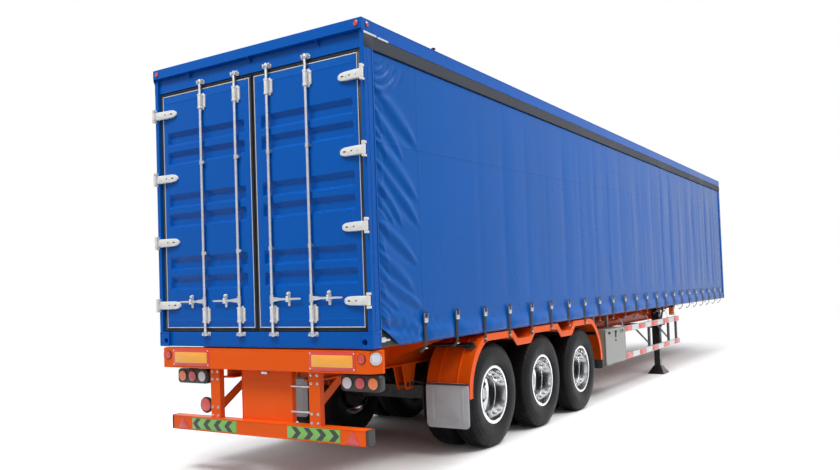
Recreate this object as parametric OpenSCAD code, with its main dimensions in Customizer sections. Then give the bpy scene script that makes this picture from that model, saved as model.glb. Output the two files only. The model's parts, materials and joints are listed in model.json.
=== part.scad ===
// Curtain-side semi trailer: tri-axle bogie on twin wheels, container-type rear doors, landing legs.
// Millimetres. +X points to the front, +Y to the left and +Z up. The origin is on the ground, mid-length.

/* [Body] */
// Length from the rear posts to the front wall
body_l = 13600; // [13400:100:13800]
// Width over the posts
body_w = 2500; // [2480:10:2520]
// Height of the roof above the ground
roof_z = 3830; // [3800:10:3900]
// Height of the load floor above the ground
deck_z = 1315; // [1310:1:1320]
// Underside of the rear sill and of the side rails
sill_z = 1180; // [1170:1:1184]
// Underside of the blue roof rail
roof_rail_z = 3706; // [3700:1:3710]
// Underside of the dark curtain track under the roof rail
track_z = 3597; // [3590:1:3600]

/* [Rear doors] */
// Width of a rear post seen from behind
post_w = 41; // [38:1:42]
// Depth of the rear frame along the body
post_d = 120; // [118:1:130]
// How far the doors and the sill stand in from the posts' rear faces
recess = 24; // [22:1:26]
// Thickness of a door
door_t = 50; // [46:1:52]
// Underside of the door leaf
door_z0 = 1352; // [1350:1:1356]
// Top of the door leaf
door_z1 = 3566; // [3560:1:3570]
// Height of one pressed groove in a door
groove_h = 95; // [80:1:100]
// Depth of one pressed groove
groove_d = 28; // [20:1:30]
// Distance of a hinge pin behind the posts' rear faces
pin_back = 32; // [32:1:34]
// Radius of a lock rod
rod_r = 14; // [12:1:14]

/* [Chassis] */
// Distance of a main rail's web from the middle
rail_y = 490; // [480:5:500]
// Width of a main rail's flanges
flange_w = 140; // [120:5:140]
// Depth of a main rail over the wheels
rail_h = 400; // [380:5:410]
// Depth of a main rail over the king pin
neck_h = 149; // [145:1:152]
// Number of crossmembers
cross_n = 28; // [20:1:30]

/* [Wheels] */
// Distance of the first axle from the rear face
axle_1 = 2200; // [2180:5:2220]
// Distance between axles
axle_pitch = 1240; // [1235:5:1250]
// Radius of a tyre
tyre_r = 530; // [520:1:530]
// Middle plane of a pair of twin wheels
twin_y = 895; // [895:1:895]

/* [Curtain] */
// Outer face of the curtain
curtain_y = 1248; // [1246:1:1248]
// Number of straps on a side
strap_n = 23; // [20:1:23]
// Distance between straps
strap_pitch = 561; // [540:1:561]

/* [Landing gear and king pin] */
// Distance of the landing legs from the rear face
leg_x = 8900; // [8850:10:8950]
// Distance of the king pin from the rear face
king_x = 12000; // [11900:10:12100]
// Radius of the king pin's neck, the two inch size
king_r = 25.4; // [25.4:0.1:25.4]

/* [Hidden] */
$fn = 48;
rear_x = -body_l / 2;
front_x = body_l / 2;
half_w = body_w / 2;
sides = [-1, 1];
sealing_gap = 6;                       // between a door's seal and the frame around it
door_x = rear_x + recess;              // outer face of the doors, the sill and the header
door_y0 = 30;                          // free edge of a door leaf
door_y1 = 1165;                        // hinge edge of a door leaf
header_z = 3603;
eave_z = 3742;
jamb_x = rear_x + 86;
rod_x = door_x - 6 - rod_r;
rod_ys = [195, 635];
pin_x = rear_x - pin_back;
pin_y = half_w - 10;
pin_r = 8;
knuckle_r = 14;
hinge_zs = [1565, 2160, 2770, 3385];
hinge_h = 80;
floor_t = 27;
rail_top = deck_z - floor_t;
rail_web = 8;
rail_flange = 14;
neck_x0 = rear_x + 10150;              // the rails start to rise to the neck
neck_x1 = rear_x + 10750;
beam_z0 = 980;
beam_z1 = 1165;
beam_y0 = 1205;                        // where the beam's corner starts to slope
beam_y1 = 1275;
side_y = 1215;                         // outer face of a side rail
cross_h = 100;
cross_pitch = (body_l - 700) / (cross_n - 1);
axles = [for (i = [0:2]) rear_x + axle_1 + i * axle_pitch];
spring_w = 80;
front_wall_d = 80;
front_wall_x = front_x - front_wall_d;
strap_x0 = 787;
strap_w = 45;
guard_y = 1200;
box_x0 = 5570;
box_x1 = 6460;
box_z0 = 470;
box_z1 = 970;
lid_y = -1206;                         // plane of the toolbox lid's hinge
wave_n = 8;                            // pressed ribs of the front wall
wave_w = (body_w - 240) / wave_n;
fender_y = 1245;
fender_top = 1165;
fender_inner = 760;
round_to = 230;                        // from an end axle to its fender's round end
dip_from = 350;                        // the fender's flat over a wheel, from the axle to the dip
dip_flat = 470;                        // from the axle to the dip's level floor
dip_d = 100;
dip_spread = 0.36;                      // how much wider a dip is, per mm below the fender's top
skid_z = rail_top - neck_h - 10;

// A block between its lowest and its highest corner
module slab(lo, hi) translate(lo) cube(hi - lo);

// Its children, at +Y and again mirrored at -Y
module both_sides() {
    children();
    mirror([0, 1, 0]) children();
}

// Its children on one side: 1 is left, -1 is right
module on_side(s) if (s > 0) children(); else mirror([0, 1, 0]) children();

// An outline in X and Z, carried along Y from y0 to y1
module along_y(y0, y1) translate([0, y1, 0]) rotate([90, 0, 0]) linear_extrude(y1 - y0) children();

// An outline in Y and Z, carried along X from x0 to x1
module along_x(x0, x1) translate([x0, 0, 0]) rotate([90, 0, 90]) linear_extrude(x1 - x0) children();

// A round bar along X, Y or Z
module bar_x(x0, x1, y, z, r) translate([x0, y, z]) rotate([0, 90, 0]) cylinder(h = x1 - x0, r = r);
module bar_y(y0, y1, x, z, r) translate([x, y1, z]) rotate([90, 0, 0]) cylinder(h = y1 - y0, r = r);
module bar_z(z0, z1, x, y, r) translate([x, y, z0]) cylinder(h = z1 - z0, r = r);

// ---------------------------------------------------------------- chassis

// Side outline of a main rail between two depths below its top
function rail_line(up) = [
    [rear_x + post_d, rail_top - rail_h + up], [neck_x0, rail_top - rail_h + up],
    [neck_x1, rail_top - neck_h + up], [front_wall_x, rail_top - neck_h + up]];

module main_rails() color("orangered") both_sides() {
    y0 = rail_y - flange_w / 2;
    y1 = rail_y + flange_w / 2;
    lower = rail_line(0);
    upper = rail_line(rail_flange);
    slab([rear_x + post_d, y0, rail_top - rail_flange], [front_wall_x, y1, rail_top]);
    along_y(rail_y - rail_web / 2, rail_y + rail_web / 2)
        polygon(concat(lower, [[front_wall_x, rail_top - 1], [rear_x + post_d, rail_top - 1]]));
    along_y(y0, y1) polygon(concat(lower, [for (i = [3:-1:0]) upper[i]]));
}

// A channel section, open to the front, standing on z0 at x
module channel(x, z0, h, w, t) polygon([[x, z0], [x + w, z0], [x + w, z0 + t], [x + t, z0 + t],
    [x + t, z0 + h - t], [x + w, z0 + h - t], [x + w, z0 + h], [x, z0 + h]]);

// Crossmembers between and outside the rails, with a tapered bracket under every second one
module crossmembers() color("orangered") {
    inner = rail_y - flange_w / 2;
    outer = rail_y + flange_w / 2;
    base = rail_top - cross_h;
    for (i = [0:cross_n - 1]) {
        x = rear_x + 350 + i * cross_pitch;
        bracketed = i % 2 == 0 && abs(x - rear_x - leg_x) > 100 && (x < axles[0] - 700 || x > axles[2] + 700);
        low = x > neck_x0 - 100 ? rail_top - neck_h + rail_flange : rail_top - rail_h + rail_flange + 60;
        along_y(-inner, inner) channel(x, base, cross_h, 50, 6);
        both_sides() {
            along_y(outer, side_y - 8) channel(x, base, cross_h, 50, 6);
            if (bracketed) along_x(x + 10, x + 18)
                polygon([[rail_y + rail_web / 2, low], [rail_y + rail_web / 2, base],
                    [side_y - 72, base], [side_y - 72, base - 16]]);
        }
    }
}

// Channel along each edge of the floor, open to the middle
module side_rails() color("orangered") both_sides()
    along_x(rear_x + post_d, front_wall_x)
        polygon([[side_y, sill_z], [side_y, deck_z], [side_y - 64, deck_z], [side_y - 64, deck_z - 6],
            [side_y - 8, deck_z - 6], [side_y - 8, sill_z + 6], [side_y - 64, sill_z + 6],
            [side_y - 64, sill_z]]);

module deck_floor() color("burlywood")
    slab([rear_x + post_d, -(side_y - 65), deck_z - floor_t], [front_wall_x, side_y - 65, deck_z]);

// ---------------------------------------------------------------- body

// Plan of the front wall's pressed sheet: a trapezium wave across the body
function wave(t) = [for (i = [0:wave_n - 1]) for (p = [[0, 40], [0.3, 40], [0.4, 4], [0.9, 4], [1, 40]])
    [front_x - 46 + p[1] + t, -(body_w - 240) / 2 + (i + p[0]) * wave_w]];

module front_wall() color("royalblue") {
    front = wave(0);
    back = wave(-3);
    n = len(front) - 1;
    both_sides() slab([front_wall_x, half_w - 120, sill_z], [front_x, half_w, roof_z]);
    slab([front_wall_x, 120 - half_w, sill_z], [front_x, half_w - 120, deck_z + 40]);
    slab([front_wall_x, 120 - half_w, roof_rail_z - 40], [front_x, half_w - 120, roof_z]);
    translate([0, 0, deck_z + 40]) linear_extrude(roof_rail_z - deck_z - 80)
        polygon(concat(front, [for (i = [n:-1:0]) back[i]]));
}

// Posts, corner castings, sill, header and eave, each a little apart from the next
module rear_frame() color("royalblue") {
    inside = half_w - post_w;
    joint = 0.5;
    casting_y = half_w - 120;
    both_sides() {
        slab([rear_x, inside, deck_z + joint], [rear_x + post_d, half_w, eave_z - joint]);
        slab([jamb_x, half_w - 100, deck_z + joint], [rear_x + post_d, inside + 1, header_z - 40 - joint]);
        difference() {
            slab([rear_x, casting_y, sill_z], [rear_x + post_d, half_w, deck_z]);
            bar_x(rear_x - 1, rear_x + 60, half_w - 80, sill_z + 52, 25);
        }
    }
    slab([door_x, joint - casting_y, sill_z], [rear_x + post_d, casting_y - joint, deck_z]);
    slab([door_x, joint - inside, header_z], [rear_x + post_d, inside - joint, eave_z - joint]);
    slab([jamb_x, joint - inside, header_z - 40], [rear_x + post_d, inside - joint, header_z + 1]);
    slab([rear_x - 20, -half_w, eave_z], [rear_x + post_d, half_w, roof_z]);
}

// Steel on the rear frame: claws for the lock rods' cams, and the hinge pins in their lugs
module frame_fittings() color("gainsboro") both_sides() {
    for (y = rod_ys, z = [sill_z + 100, header_z + 5], d = sides)
        slab([door_x - 36, y + d * 24 - 4, z], [door_x, y + d * 24 + 4, z + 30]);
    for (z = hinge_zs) {
        bar_z(z - hinge_h / 2 - 23, z + hinge_h / 2 + 23, pin_x, pin_y, pin_r);
        for (d = sides) translate([0, 0, z + d * (hinge_h / 2 + 13) - 10]) {
            translate([pin_x, pin_y, 0]) cylinder(h = 20, r = knuckle_r);
            slab([pin_x, pin_y - knuckle_r, 0], [rear_x, half_w, 20]);
        }
    }
}

module roof_rails() color("royalblue") both_sides()
    slab([rear_x + post_d, half_w - 80, roof_rail_z], [front_wall_x, half_w, roof_z]);

module roof_sheet() color("steelblue")
    slab([rear_x + post_d, 81 - half_w, roof_z - 14], [front_wall_x, half_w - 81, roof_z - 10]);

module roof_bows() color("silver")
    for (i = [1:13]) {
        x = rear_x + post_d + i * (front_wall_x - rear_x - post_d) / 14;
        slab([x - 20, 80 - half_w, roof_z - 54], [x + 20, half_w - 80, roof_z - 15]);
    }

module curtain_tracks() color("dimgray") both_sides()
    slab([rear_x + post_d, half_w - 60, track_z], [front_wall_x, half_w, roof_rail_z]);

module side_pillars() color("silver") both_sides()
    for (i = [1:3]) {
        x = rear_x + post_d + i * (front_wall_x - rear_x - post_d) / 4;
        slab([x - 60, side_y - 55, deck_z], [x + 60, side_y - 27, roof_rail_z]);
    }

// ---------------------------------------------------------------- curtains

// The space that one curtain fills, with its lower rear corner cut off
module curtain(s) color("royalblue") on_side(s)
    along_y(curtain_y - 24, curtain_y)
        polygon([[rear_x + 147, track_z - 3], [rear_x + 147, sill_z + 50], [rear_x + 390, sill_z],
            [front_wall_x - 4, sill_z], [front_wall_x - 4, track_z - 3]]);

// Webbing straps, hooked under the side rail, or hanging straight in front of a fender
module curtain_straps() color("black") both_sides()
    for (i = [0:strap_n - 1]) {
        x = rear_x + strap_x0 + i * strap_pitch;
        if (x > axles[0] - 560 && x < axles[2] + 560)
            slab([x - strap_w / 2, curtain_y + 1, 1085], [x + strap_w / 2, curtain_y + 5, 1425]);
        else along_x(x - strap_w / 2, x + strap_w / 2)
            polygon([[curtain_y + 1, 1425], [curtain_y + 5, 1425], [curtain_y + 5, 1150],
                [side_y - 10, 1085], [side_y - 26, 1085], [side_y - 26, sill_z - 2],
                [side_y - 20, sill_z - 2], [side_y - 20, 1091], [side_y - 12, 1091],
                [curtain_y + 1, 1153]]);
    }

module curtain_buckles() color("silver") both_sides()
    for (i = [0:strap_n - 1]) {
        x = rear_x + strap_x0 + i * strap_pitch;
        slab([x - 30, curtain_y + 5, 1345], [x + 30, curtain_y + 20, 1430]);
    }

// ---------------------------------------------------------------- rear doors

// Outline of one door's groove in X and Z, with sloping sides
module groove(z) polygon([[door_x - 1, z - groove_h / 2], [door_x - 1, z + groove_h / 2],
    [door_x + groove_d, z + groove_h / 2 - 24], [door_x + groove_d, z - groove_h / 2 + 24]]);

module rear_door(s) color("royalblue") on_side(s)
    difference() {
        slab([door_x, door_y0, door_z0], [door_x + door_t, door_y1, door_z1]);
        for (k = [-1:1], d = sides) along_y(98, 1110) groove(2458 + k * 594 + d * 93);
    }

module door_seal(s) color([0.06, 0.06, 0.07]) on_side(s)
    along_x(door_x + 4, door_x + door_t + 4) difference() {
        translate([5, deck_z + sealing_gap])
            square([half_w - post_w - sealing_gap - 5, header_z - deck_z - 2 * sealing_gap]);
        translate([door_y0, door_z0]) square([door_y1 - door_y0, door_z1 - door_z0]);
    }

// One lock rod at y: its guides on the door, its cams, and its handle in a catch
module lock_rod(y) {
    bar_z(1275, 3650, rod_x, y, rod_r);
    for (z = [1280, 3612]) slab([rod_x - 15, y - 14, z], [rod_x + 15, y + 14, z + 26]);
    for (z = [1467, 3445], d = sides)
        slab([rod_x - 19, y - 24, z + d * 55 - 14], [door_x, y + 24, z + d * 55 + 14]);
    for (z = [2035, 2875]) slab([rod_x - 19, y - 22, z - 20], [door_x, y + 22, z + 20]);
    bar_z(1560, 1630, rod_x, y, rod_r + 5);
    slab([rod_x - 12, y + 10, 1583], [rod_x, y + 330, 1607]);
    slab([door_x - 6, y + 165, 1535], [door_x, y + 195, 1655]);
    slab([rod_x - 16, y + 168, 1571], [door_x, y + 192, 1583]);
}

module lock_rods(s) color("gainsboro") on_side(s) for (y = rod_ys) lock_rod(y);

module hinge_blades(s) color("gainsboro") on_side(s)
    for (z = hinge_zs) translate([0, 0, z - hinge_h / 2])
        difference() {
            union() {
                translate([pin_x, pin_y, 0]) cylinder(h = hinge_h, r = knuckle_r);
                slab([pin_x, pin_y - 10, 0], [pin_x + 20, pin_y + 10, hinge_h]);
                slab([pin_x + 16, 968, 0], [pin_x + 26, pin_y + 10, hinge_h]);
                slab([pin_x + 20, 975, 10], [door_x, 1155, hinge_h - 10]);
            }
            translate([pin_x, pin_y, -1]) cylinder(h = hinge_h + 2, r = pin_r + 0.1);
        }

// ---------------------------------------------------------------- rear end

module rear_beam() color("orangered")
    translate([0, 0, beam_z0]) linear_extrude(beam_z1 - beam_z0)
        polygon([[rear_x, -beam_y0], [rear_x, beam_y0], [rear_x + 90, beam_y1], [rear_x + post_d, beam_y1],
            [rear_x + post_d, -beam_y1], [rear_x + 90, -beam_y1]]);

// Posts, bar and middle panel of the rear underrun guard
module underrun_guard() color("orangered") {
    bar_x0 = rear_x + 34;
    both_sides() {
        slab([rear_x + 60, 527, 530], [rear_x + 116, 647, beam_z0]);
        along_y(540, 548) polygon([[rear_x + 116, 600], [rear_x + 116, 700],
            [rear_x + 420, rail_top - rail_h], [rear_x + 560, rail_top - rail_h]]);
    }
    slab([bar_x0, -1125, 400], [bar_x0 + 100, 1125, 530]);
    slab([rear_x + 113, -300, 530], [rear_x + 119, 300, beam_z0]);
    both_sides() slab([rear_x + 119, 292, 530], [rear_x + 159, 300, beam_z0]);
}

module underrun_end_caps() color("black") both_sides()
    slab([rear_x + 32, 1125, 398], [rear_x + 136, 1150, 532]);

module chevron_boards() color("limegreen") both_sides()
    slab([rear_x + 30, 300, 412], [rear_x + 34, 870, 518]);

module reflector_boards() color("orange") both_sides()
    slab([rear_x - 6, 590, 1000], [rear_x, 1075, 1155]);

module lamp_housings() color("black") {
    both_sides() {
        slab([rear_x + 160, 862, 815], [rear_x + 230, 1127, 955]);
        for (y = [862, 1127]) bar_x(rear_x + 160, rear_x + 230, y, 885, 70);
        slab([rear_x + 170, 930, 955], [rear_x + 178, 1060, 1000]);
        slab([rear_x + post_d, 930, 992], [rear_x + 178, 1060, 1000]);
    }
    bar_x(rear_x + 100, rear_x + 130, 757, 630, 76);
    slab([rear_x + 104, 647, 620], [rear_x + 112, 700, 640]);
}

module red_lamps() color("red") {
    both_sides() {
        bar_x(rear_x + 150, rear_x + 160, 994, 885, 52);
        bar_x(rear_x - 12, rear_x, 1135, 1100, 38);
        along_x(rear_x + 28, rear_x + 34) polygon([[920, 412], [1070, 412], [995, 518]]);
        bar_x(rear_x - 26, rear_x - 20, 1195, 3786, 24);
    }
    bar_x(rear_x + 92, rear_x + 100, 757, 630, 66);
}

module amber_lamps() color("orange") both_sides() {
    bar_x(rear_x + 150, rear_x + 160, 1127, 885, 52);
    slab([rear_x + 9290, 1125, 1005], [rear_x + 9298, side_y, sill_z]);
}

module white_lamps() color("white") both_sides() {
    bar_x(rear_x + 150, rear_x + 160, 862, 885, 52);
    bar_x(front_x, front_x + 10, 1180, 1245, 30);
    translate([rear_x + 44.5, (beam_y0 + beam_y1) / 2 + 0.6, 1100])
        rotate([0, 0, 90 + atan2(beam_y1 - beam_y0, 90)])
        rotate([0, 90, 0]) cylinder(h = 8, r = 46);
}

// ---------------------------------------------------------------- bogie

// Fender line over the three wheels, seen from the side: round ends and a notch between wheels
function fender_line(r) = let (s = dip_spread * (650 - r)) concat(
    [for (a = [183:-9:120]) [axles[0] + r * cos(a), 600 + r * 0.95 * sin(a)]],
    [for (i = [0:2],
            p = [[i == 0 ? -round_to : s - dip_from, 0], [i == 2 ? round_to : dip_from - s, 0],
            [dip_flat - s, -dip_d], [axle_pitch - dip_flat + s, -dip_d]])
        if (i < 2 || p[0] <= dip_from) [axles[i] + p[0], fender_top + r - 650 + p[1]]],
    [for (a = [62:-9:-1]) [axles[2] + r * cos(a), 600 + r * 0.95 * sin(a)]]);

// The band between two of these lines
module fender_band(r0, r1) {
    outer = fender_line(r1);
    inner = fender_line(r0);
    polygon(concat(outer, [for (i = [len(inner) - 1:-1:0]) inner[i]]));
}

module fenders() color("orangered") both_sides() {
    along_y(fender_inner, fender_y - 5) fender_band(644, 650);
    along_y(fender_y - 5, fender_y) fender_band(584, 650);
}

// Tubes from the main rails out to the fenders: one on top of the rear end, the others underneath
module fender_stays() color("black") both_sides() {
    bar_y(rail_y + rail_web / 2, fender_y - 25, axles[0] - 460, 1072, 20);
    bar_y(rail_y + rail_web / 2, fender_y - 7, axles[2] + 500, 950, 20);
    for (i = [0:1]) bar_y(rail_y + rail_web / 2, fender_y - 7, axles[i] + axle_pitch / 2, 1034, 20);
}

module mud_flaps() color("darkgray") both_sides() {
    slab([axles[0] - 659, 760, 285], [axles[0] - 651, 1240, 720]);
    slab([axles[2] + 651, 760, 465], [axles[2] + 659, 1240, 680]);
}

// Square axle beams with their spindles, brake plates and brake chambers
module axle_beams() color("dimgray")
    for (x = axles) {
        slab([x - 70, -600, tyre_r - 70], [x + 70, 600, tyre_r + 70]);
        both_sides() {
            bar_y(600, 700, x, tyre_r, 62);
            bar_y(700, 990, x, tyre_r, 45);
            bar_y(600, 608, x, tyre_r, 205);
            slab([x + 40, 320, 600], [x + 75, 360, 660]);
            bar_x(x + 71, x + 150, 340, 640, 18);
            bar_x(x + 150, x + 300, 340, 640, 82);
        }
    }

// One leaf pack over an axle: thick in the middle, turned up to its ends
module leaf_springs() color("dimgray") both_sides()
    for (x = axles) {
        along_y(rail_y - spring_w / 2, rail_y + spring_w / 2)
            polygon([[x - 545, 738], [x - 300, 690], [x - 100, 672], [x + 100, 672], [x + 300, 690],
                [x + 545, 738], [x + 545, 722], [x + 300, 660], [x + 150, 630], [x + 90, 615],
                [x - 90, 615], [x - 150, 630], [x - 300, 660], [x - 545, 722]]);
        slab([x - 80, rail_y - 50, tyre_r + 70], [x + 80, rail_y + 50, 616]);
    }

// Pairs of plates under the rails that hold the leaf packs' ends
module spring_hangers() color("dimgray") both_sides()
    for (i = [0:3], d = sides) {
        x = axles[0] + (i - 0.5) * axle_pitch;
        y = rail_y + d * 50;
        along_y(y - 5, y + 5) polygon([[x - 130, rail_top - rail_h], [x + 130, rail_top - rail_h],
            [x + 60, 640], [x - 60, 640]]);
    }

// Half of a tyre's section, from its tread to its bead, about its own middle plane
tyre_half = [[530, 0], [530, 85], [522, 105], [505, 117], [480, 128], [430, 139], [380, 140],
    [330, 132], [302, 120], [298, 108], [285, 98], [277.5, 80], [277.5, 0]];

module tyre(y) translate([0, y, 0]) rotate([-90, 0, 0]) rotate_extrude($fn = 96)
    polygon(concat(tyre_half, [for (i = [len(tyre_half) - 2:-1:1]) [tyre_half[i][0], -tyre_half[i][1]]]));

module tyres(s, i) color([0.1, 0.1, 0.1]) on_side(s) translate([axles[i], 0, tyre_r])
    for (d = [-165, 165]) tyre(twin_y + d);

// Section of the twin rims, their discs, the hub and the brake drum in one turned solid
module wheel_section() polygon([[45.1, 705], [85, 705], [85, 835], [180, 835], [180, 625], [197, 625],
    [197, 850], [158, 862], [158, 878], [256, 824], [262, 818], [262, 614], [296, 614], [296, 620],
    [282, 630], [276, 645], [276, 815], [282, 832], [296, 840], [296, 846], [276, 846], [262, 838],
    [176, 895], [262, 952], [276, 944], [296, 944], [296, 950], [282, 958], [276, 975], [276, 1145],
    [282, 1160], [296, 1170], [296, 1176], [262, 1176], [262, 972], [256, 966], [168, 914], [120, 914],
    [120, 935], [98, 940], [98, 1030], [80, 1045], [0, 1045], [0, 1000], [45.1, 1000]]);

module wheels(s, i) color("silver") on_side(s) translate([axles[i], 0, tyre_r])
    difference() {
        rotate([-90, 0, 0]) rotate_extrude($fn = 96) wheel_section();
        for (a = [0:36:324]) rotate([0, a, 0]) bar_y(895, 990, 0, 215, 30);
    }

// ---------------------------------------------------------------- equipment

module toolbox() color("darkgray") {
    x0 = rear_x + box_x0;
    x1 = rear_x + box_x1;
    difference() {
        slab([x0, -1195, box_z0], [x1, -760, box_z1]);
        slab([x0 + 4, -1196, box_z0 + 4], [x1 - 4, -764, box_z1 - 4]);
    }
    for (x = [x0 + 150, x1 - 150]) {
        slab([x - 30, -1000, box_z1], [x + 30, -960, sill_z]);
        bar_x(x - 50, x + 50, lid_y, box_z0 - 2, 3);
        for (d = sides) slab([x + d * 45 - 5, lid_y - 5, box_z0 - 7], [x + d * 45 + 5, -1150, box_z0]);
    }
}

// Drop-down door of the toolbox, hinged along its lower edge
module toolbox_lid() color("darkgray") {
    x0 = rear_x + box_x0;
    x1 = rear_x + box_x1;
    slab([x0, lid_y - 6, box_z0 + 7], [x1, lid_y + 5, box_z1 - 2]);
    for (x = [x0 + 150, x1 - 150]) difference() {
        union() {
            bar_x(x - 35, x + 35, lid_y, box_z0 - 2, 7);
            slab([x - 35, lid_y - 5, box_z0], [x + 35, lid_y + 5, box_z0 + 8]);
        }
        bar_x(x - 36, x + 36, lid_y, box_z0 - 2, 3.1);
    }
    for (x = [x0 + 200, x1 - 200]) slab([x - 35, lid_y - 16, box_z1 - 70], [x + 35, lid_y - 6, box_z1 - 30]);
}

module side_guards() color("silver") {
    for (s = sides) on_side(s) {
        x0 = rear_x + (s < 0 ? box_x1 + 30 : 5500);
        x1 = rear_x + 9670;
        for (z = [478, 883]) slab([x0, guard_y - 30, z], [x1, guard_y, z + 90]);
        for (share = [0, 0.44, 0.83, 1]) {
            x = x0 + 60 + share * (x1 - x0 - 120);
            slab([x - 30, guard_y - 66, 478], [x + 30, guard_y - 30, 973]);
            slab([x - 8, guard_y - 66, 972], [x + 8, guard_y - 50, sill_z]);
        }
    }
}

// Telescopic legs with pyramid feet, and a brace from each leg up to a crossmember
module landing_legs() color([0.12, 0.12, 0.13]) {
    x = rear_x + leg_x;
    top = rail_top - cross_h;
    both_sides() {
        slab([x - 65, 935, 480], [x + 65, 1065, top]);
        slab([x - 50, 950, 140], [x + 50, 1050, 480]);
        hull() {
            slab([x - 165, 860, 0], [x + 165, 1140, 12]);
            slab([x - 60, 940, 130], [x + 60, 1060, 140]);
        }
        along_y(988, 1012) polygon([[x + 64, 600], [x + 64, 660], [x + 500, top], [x + 560, top]]);
    }
}

// Shaft across the legs, its gearbox and the stub that takes the crank
module landing_gear_shaft() color("dimgray") {
    x = rear_x + leg_x;
    bar_y(-935, 935, x, 860, 22);
    slab([x - 60, -935, 800], [x + 60, -850, 920]);
    bar_y(-1150, -1065, x, 860, 12);
}

module king_pin_plate() color("dimgray") {
    x = rear_x + king_x;
    slab([x - 550, -560, skid_z], [x + 900, 560, skid_z + 10]);
    slab([x - 300, -400, skid_z + 10], [x + 300, 400, rail_top - cross_h]);
    translate([x, 0, skid_z - 84]) rotate_extrude()
        polygon([[0, 0], [35.7, 0], [35.7, 21], [king_r, 21], [king_r, 56], [36.5, 56], [36.5, 85], [0, 85]]);
}

// Two air tanks on a carrier bar under the crossmembers
module air_tanks() color("orangered") {
    x0 = rear_x + 6700;
    slab([x0 - 50, -20, 1130], [x0 + 1850, 20, rail_top - cross_h]);
    for (x = [x0, x0 + 1000]) {
        bar_x(x, x + 800, 0, 900, 150);
        for (d = [150, 650]) slab([x + d - 15, -20, 1030], [x + d + 15, 20, 1131]);
    }
}

// Plate on the front wall with two air couplings and the lighting socket
module coupling_heads() color("silver") {
    z = 1260;
    slab([front_x, -250, z - 60], [front_x + 4, 250, z + 60]);
    for (y = [-160, 160]) {
        bar_x(front_x + 3, front_x + 36, y, z, 28);
        slab([front_x + 20, y - 12, z + 20], [front_x + 36, y + 12, z + 48]);
    }
    difference() {
        bar_x(front_x + 3, front_x + 46, 0, z, 32);
        bar_x(front_x + 16, front_x + 47, 0, z, 22);
    }
}

// ----------------------------------------------------------------
main_rails();
crossmembers();
side_rails();
deck_floor();
front_wall();
rear_frame();
frame_fittings();
roof_rails();
roof_sheet();
roof_bows();
curtain_tracks();
side_pillars();
curtain(1);  // curtain_left
curtain(-1);  // curtain_right
curtain_straps();
curtain_buckles();
rear_door(1);  // rear_door_left
rear_door(-1);  // rear_door_right
door_seal(1);  // door_seal_left
door_seal(-1);  // door_seal_right
lock_rods(1);  // lock_rods_left
lock_rods(-1);  // lock_rods_right
hinge_blades(1);  // hinge_blades_left
hinge_blades(-1);  // hinge_blades_right
rear_beam();
underrun_guard();
underrun_end_caps();
chevron_boards();
reflector_boards();
lamp_housings();
red_lamps();
amber_lamps();
white_lamps();
fenders();
fender_stays();
mud_flaps();
axle_beams();
leaf_springs();
spring_hangers();
tyres(1, 0);  // tyres_left_1
tyres(1, 1);  // tyres_left_2
tyres(1, 2);  // tyres_left_3
tyres(-1, 0);  // tyres_right_1
tyres(-1, 1);  // tyres_right_2
tyres(-1, 2);  // tyres_right_3
wheels(1, 0);  // wheels_left_1
wheels(1, 1);  // wheels_left_2
wheels(1, 2);  // wheels_left_3
wheels(-1, 0);  // wheels_right_1
wheels(-1, 1);  // wheels_right_2
wheels(-1, 2);  // wheels_right_3
toolbox();
toolbox_lid();
side_guards();
landing_legs();
landing_gear_shaft();
king_pin_plate();
air_tanks();
coupling_heads();
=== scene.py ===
"""Looks of a curtain-side semi trailer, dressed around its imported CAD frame.

All sizes are metres in the trailer's own frame: +X to the front, +Y to the left, +Z up, the ground at z = 0.
"""

import json
import logging
import math
from dataclasses import dataclass
from enum import Enum
from typing import Callable, Sequence

import bmesh
import bpy
import numpy as np
from mathutils import Matrix, Vector

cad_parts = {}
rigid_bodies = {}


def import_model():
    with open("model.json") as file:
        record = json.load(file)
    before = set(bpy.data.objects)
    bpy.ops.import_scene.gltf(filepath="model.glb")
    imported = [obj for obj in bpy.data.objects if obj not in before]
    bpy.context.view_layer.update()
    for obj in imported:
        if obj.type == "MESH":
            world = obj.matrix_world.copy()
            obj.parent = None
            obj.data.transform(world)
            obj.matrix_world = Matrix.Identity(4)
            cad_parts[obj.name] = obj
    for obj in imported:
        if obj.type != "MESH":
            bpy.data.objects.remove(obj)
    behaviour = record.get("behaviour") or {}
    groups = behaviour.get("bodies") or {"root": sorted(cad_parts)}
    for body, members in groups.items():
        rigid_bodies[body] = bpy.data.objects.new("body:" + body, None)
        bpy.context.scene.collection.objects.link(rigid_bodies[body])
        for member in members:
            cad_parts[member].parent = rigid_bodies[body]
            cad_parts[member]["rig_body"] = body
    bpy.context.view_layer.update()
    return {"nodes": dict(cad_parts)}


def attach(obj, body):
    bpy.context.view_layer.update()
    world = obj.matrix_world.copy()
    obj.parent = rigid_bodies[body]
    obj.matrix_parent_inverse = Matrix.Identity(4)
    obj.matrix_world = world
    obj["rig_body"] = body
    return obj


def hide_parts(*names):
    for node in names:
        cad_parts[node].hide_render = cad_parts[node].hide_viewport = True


Array = np.ndarray
Colour = tuple[float, float, float]
Point = tuple[float, float, float]
Pair = tuple[float, float]
Thing = bpy.types.Object
Node = bpy.types.Node
Socket = bpy.types.NodeSocket
LOG = logging.getLogger("trailer")

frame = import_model()
REAR = -6.8
FRONT = 6.8
DOOR_FACE = REAR + 0.024
FIRST_STRAP = REAR + 0.787
STRAP_PITCH = 0.561
STRAPS = 23
ROOF_ENDS = (REAR + 0.125, FRONT - 0.085)
ROOF_BAYS = 14


class Side(Enum):
    """The trailer's two sides, with the sign of Y on each."""

    LEFT = 1
    RIGHT = -1

    @property
    def word(self) -> str:
        """The side's name as it stands in the CAD node names."""
        return self.name.lower()


class Axis(Enum):
    """The axis along which a profile or an outline is carried."""

    X = 0
    Y = 1
    Z = 2


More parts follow.
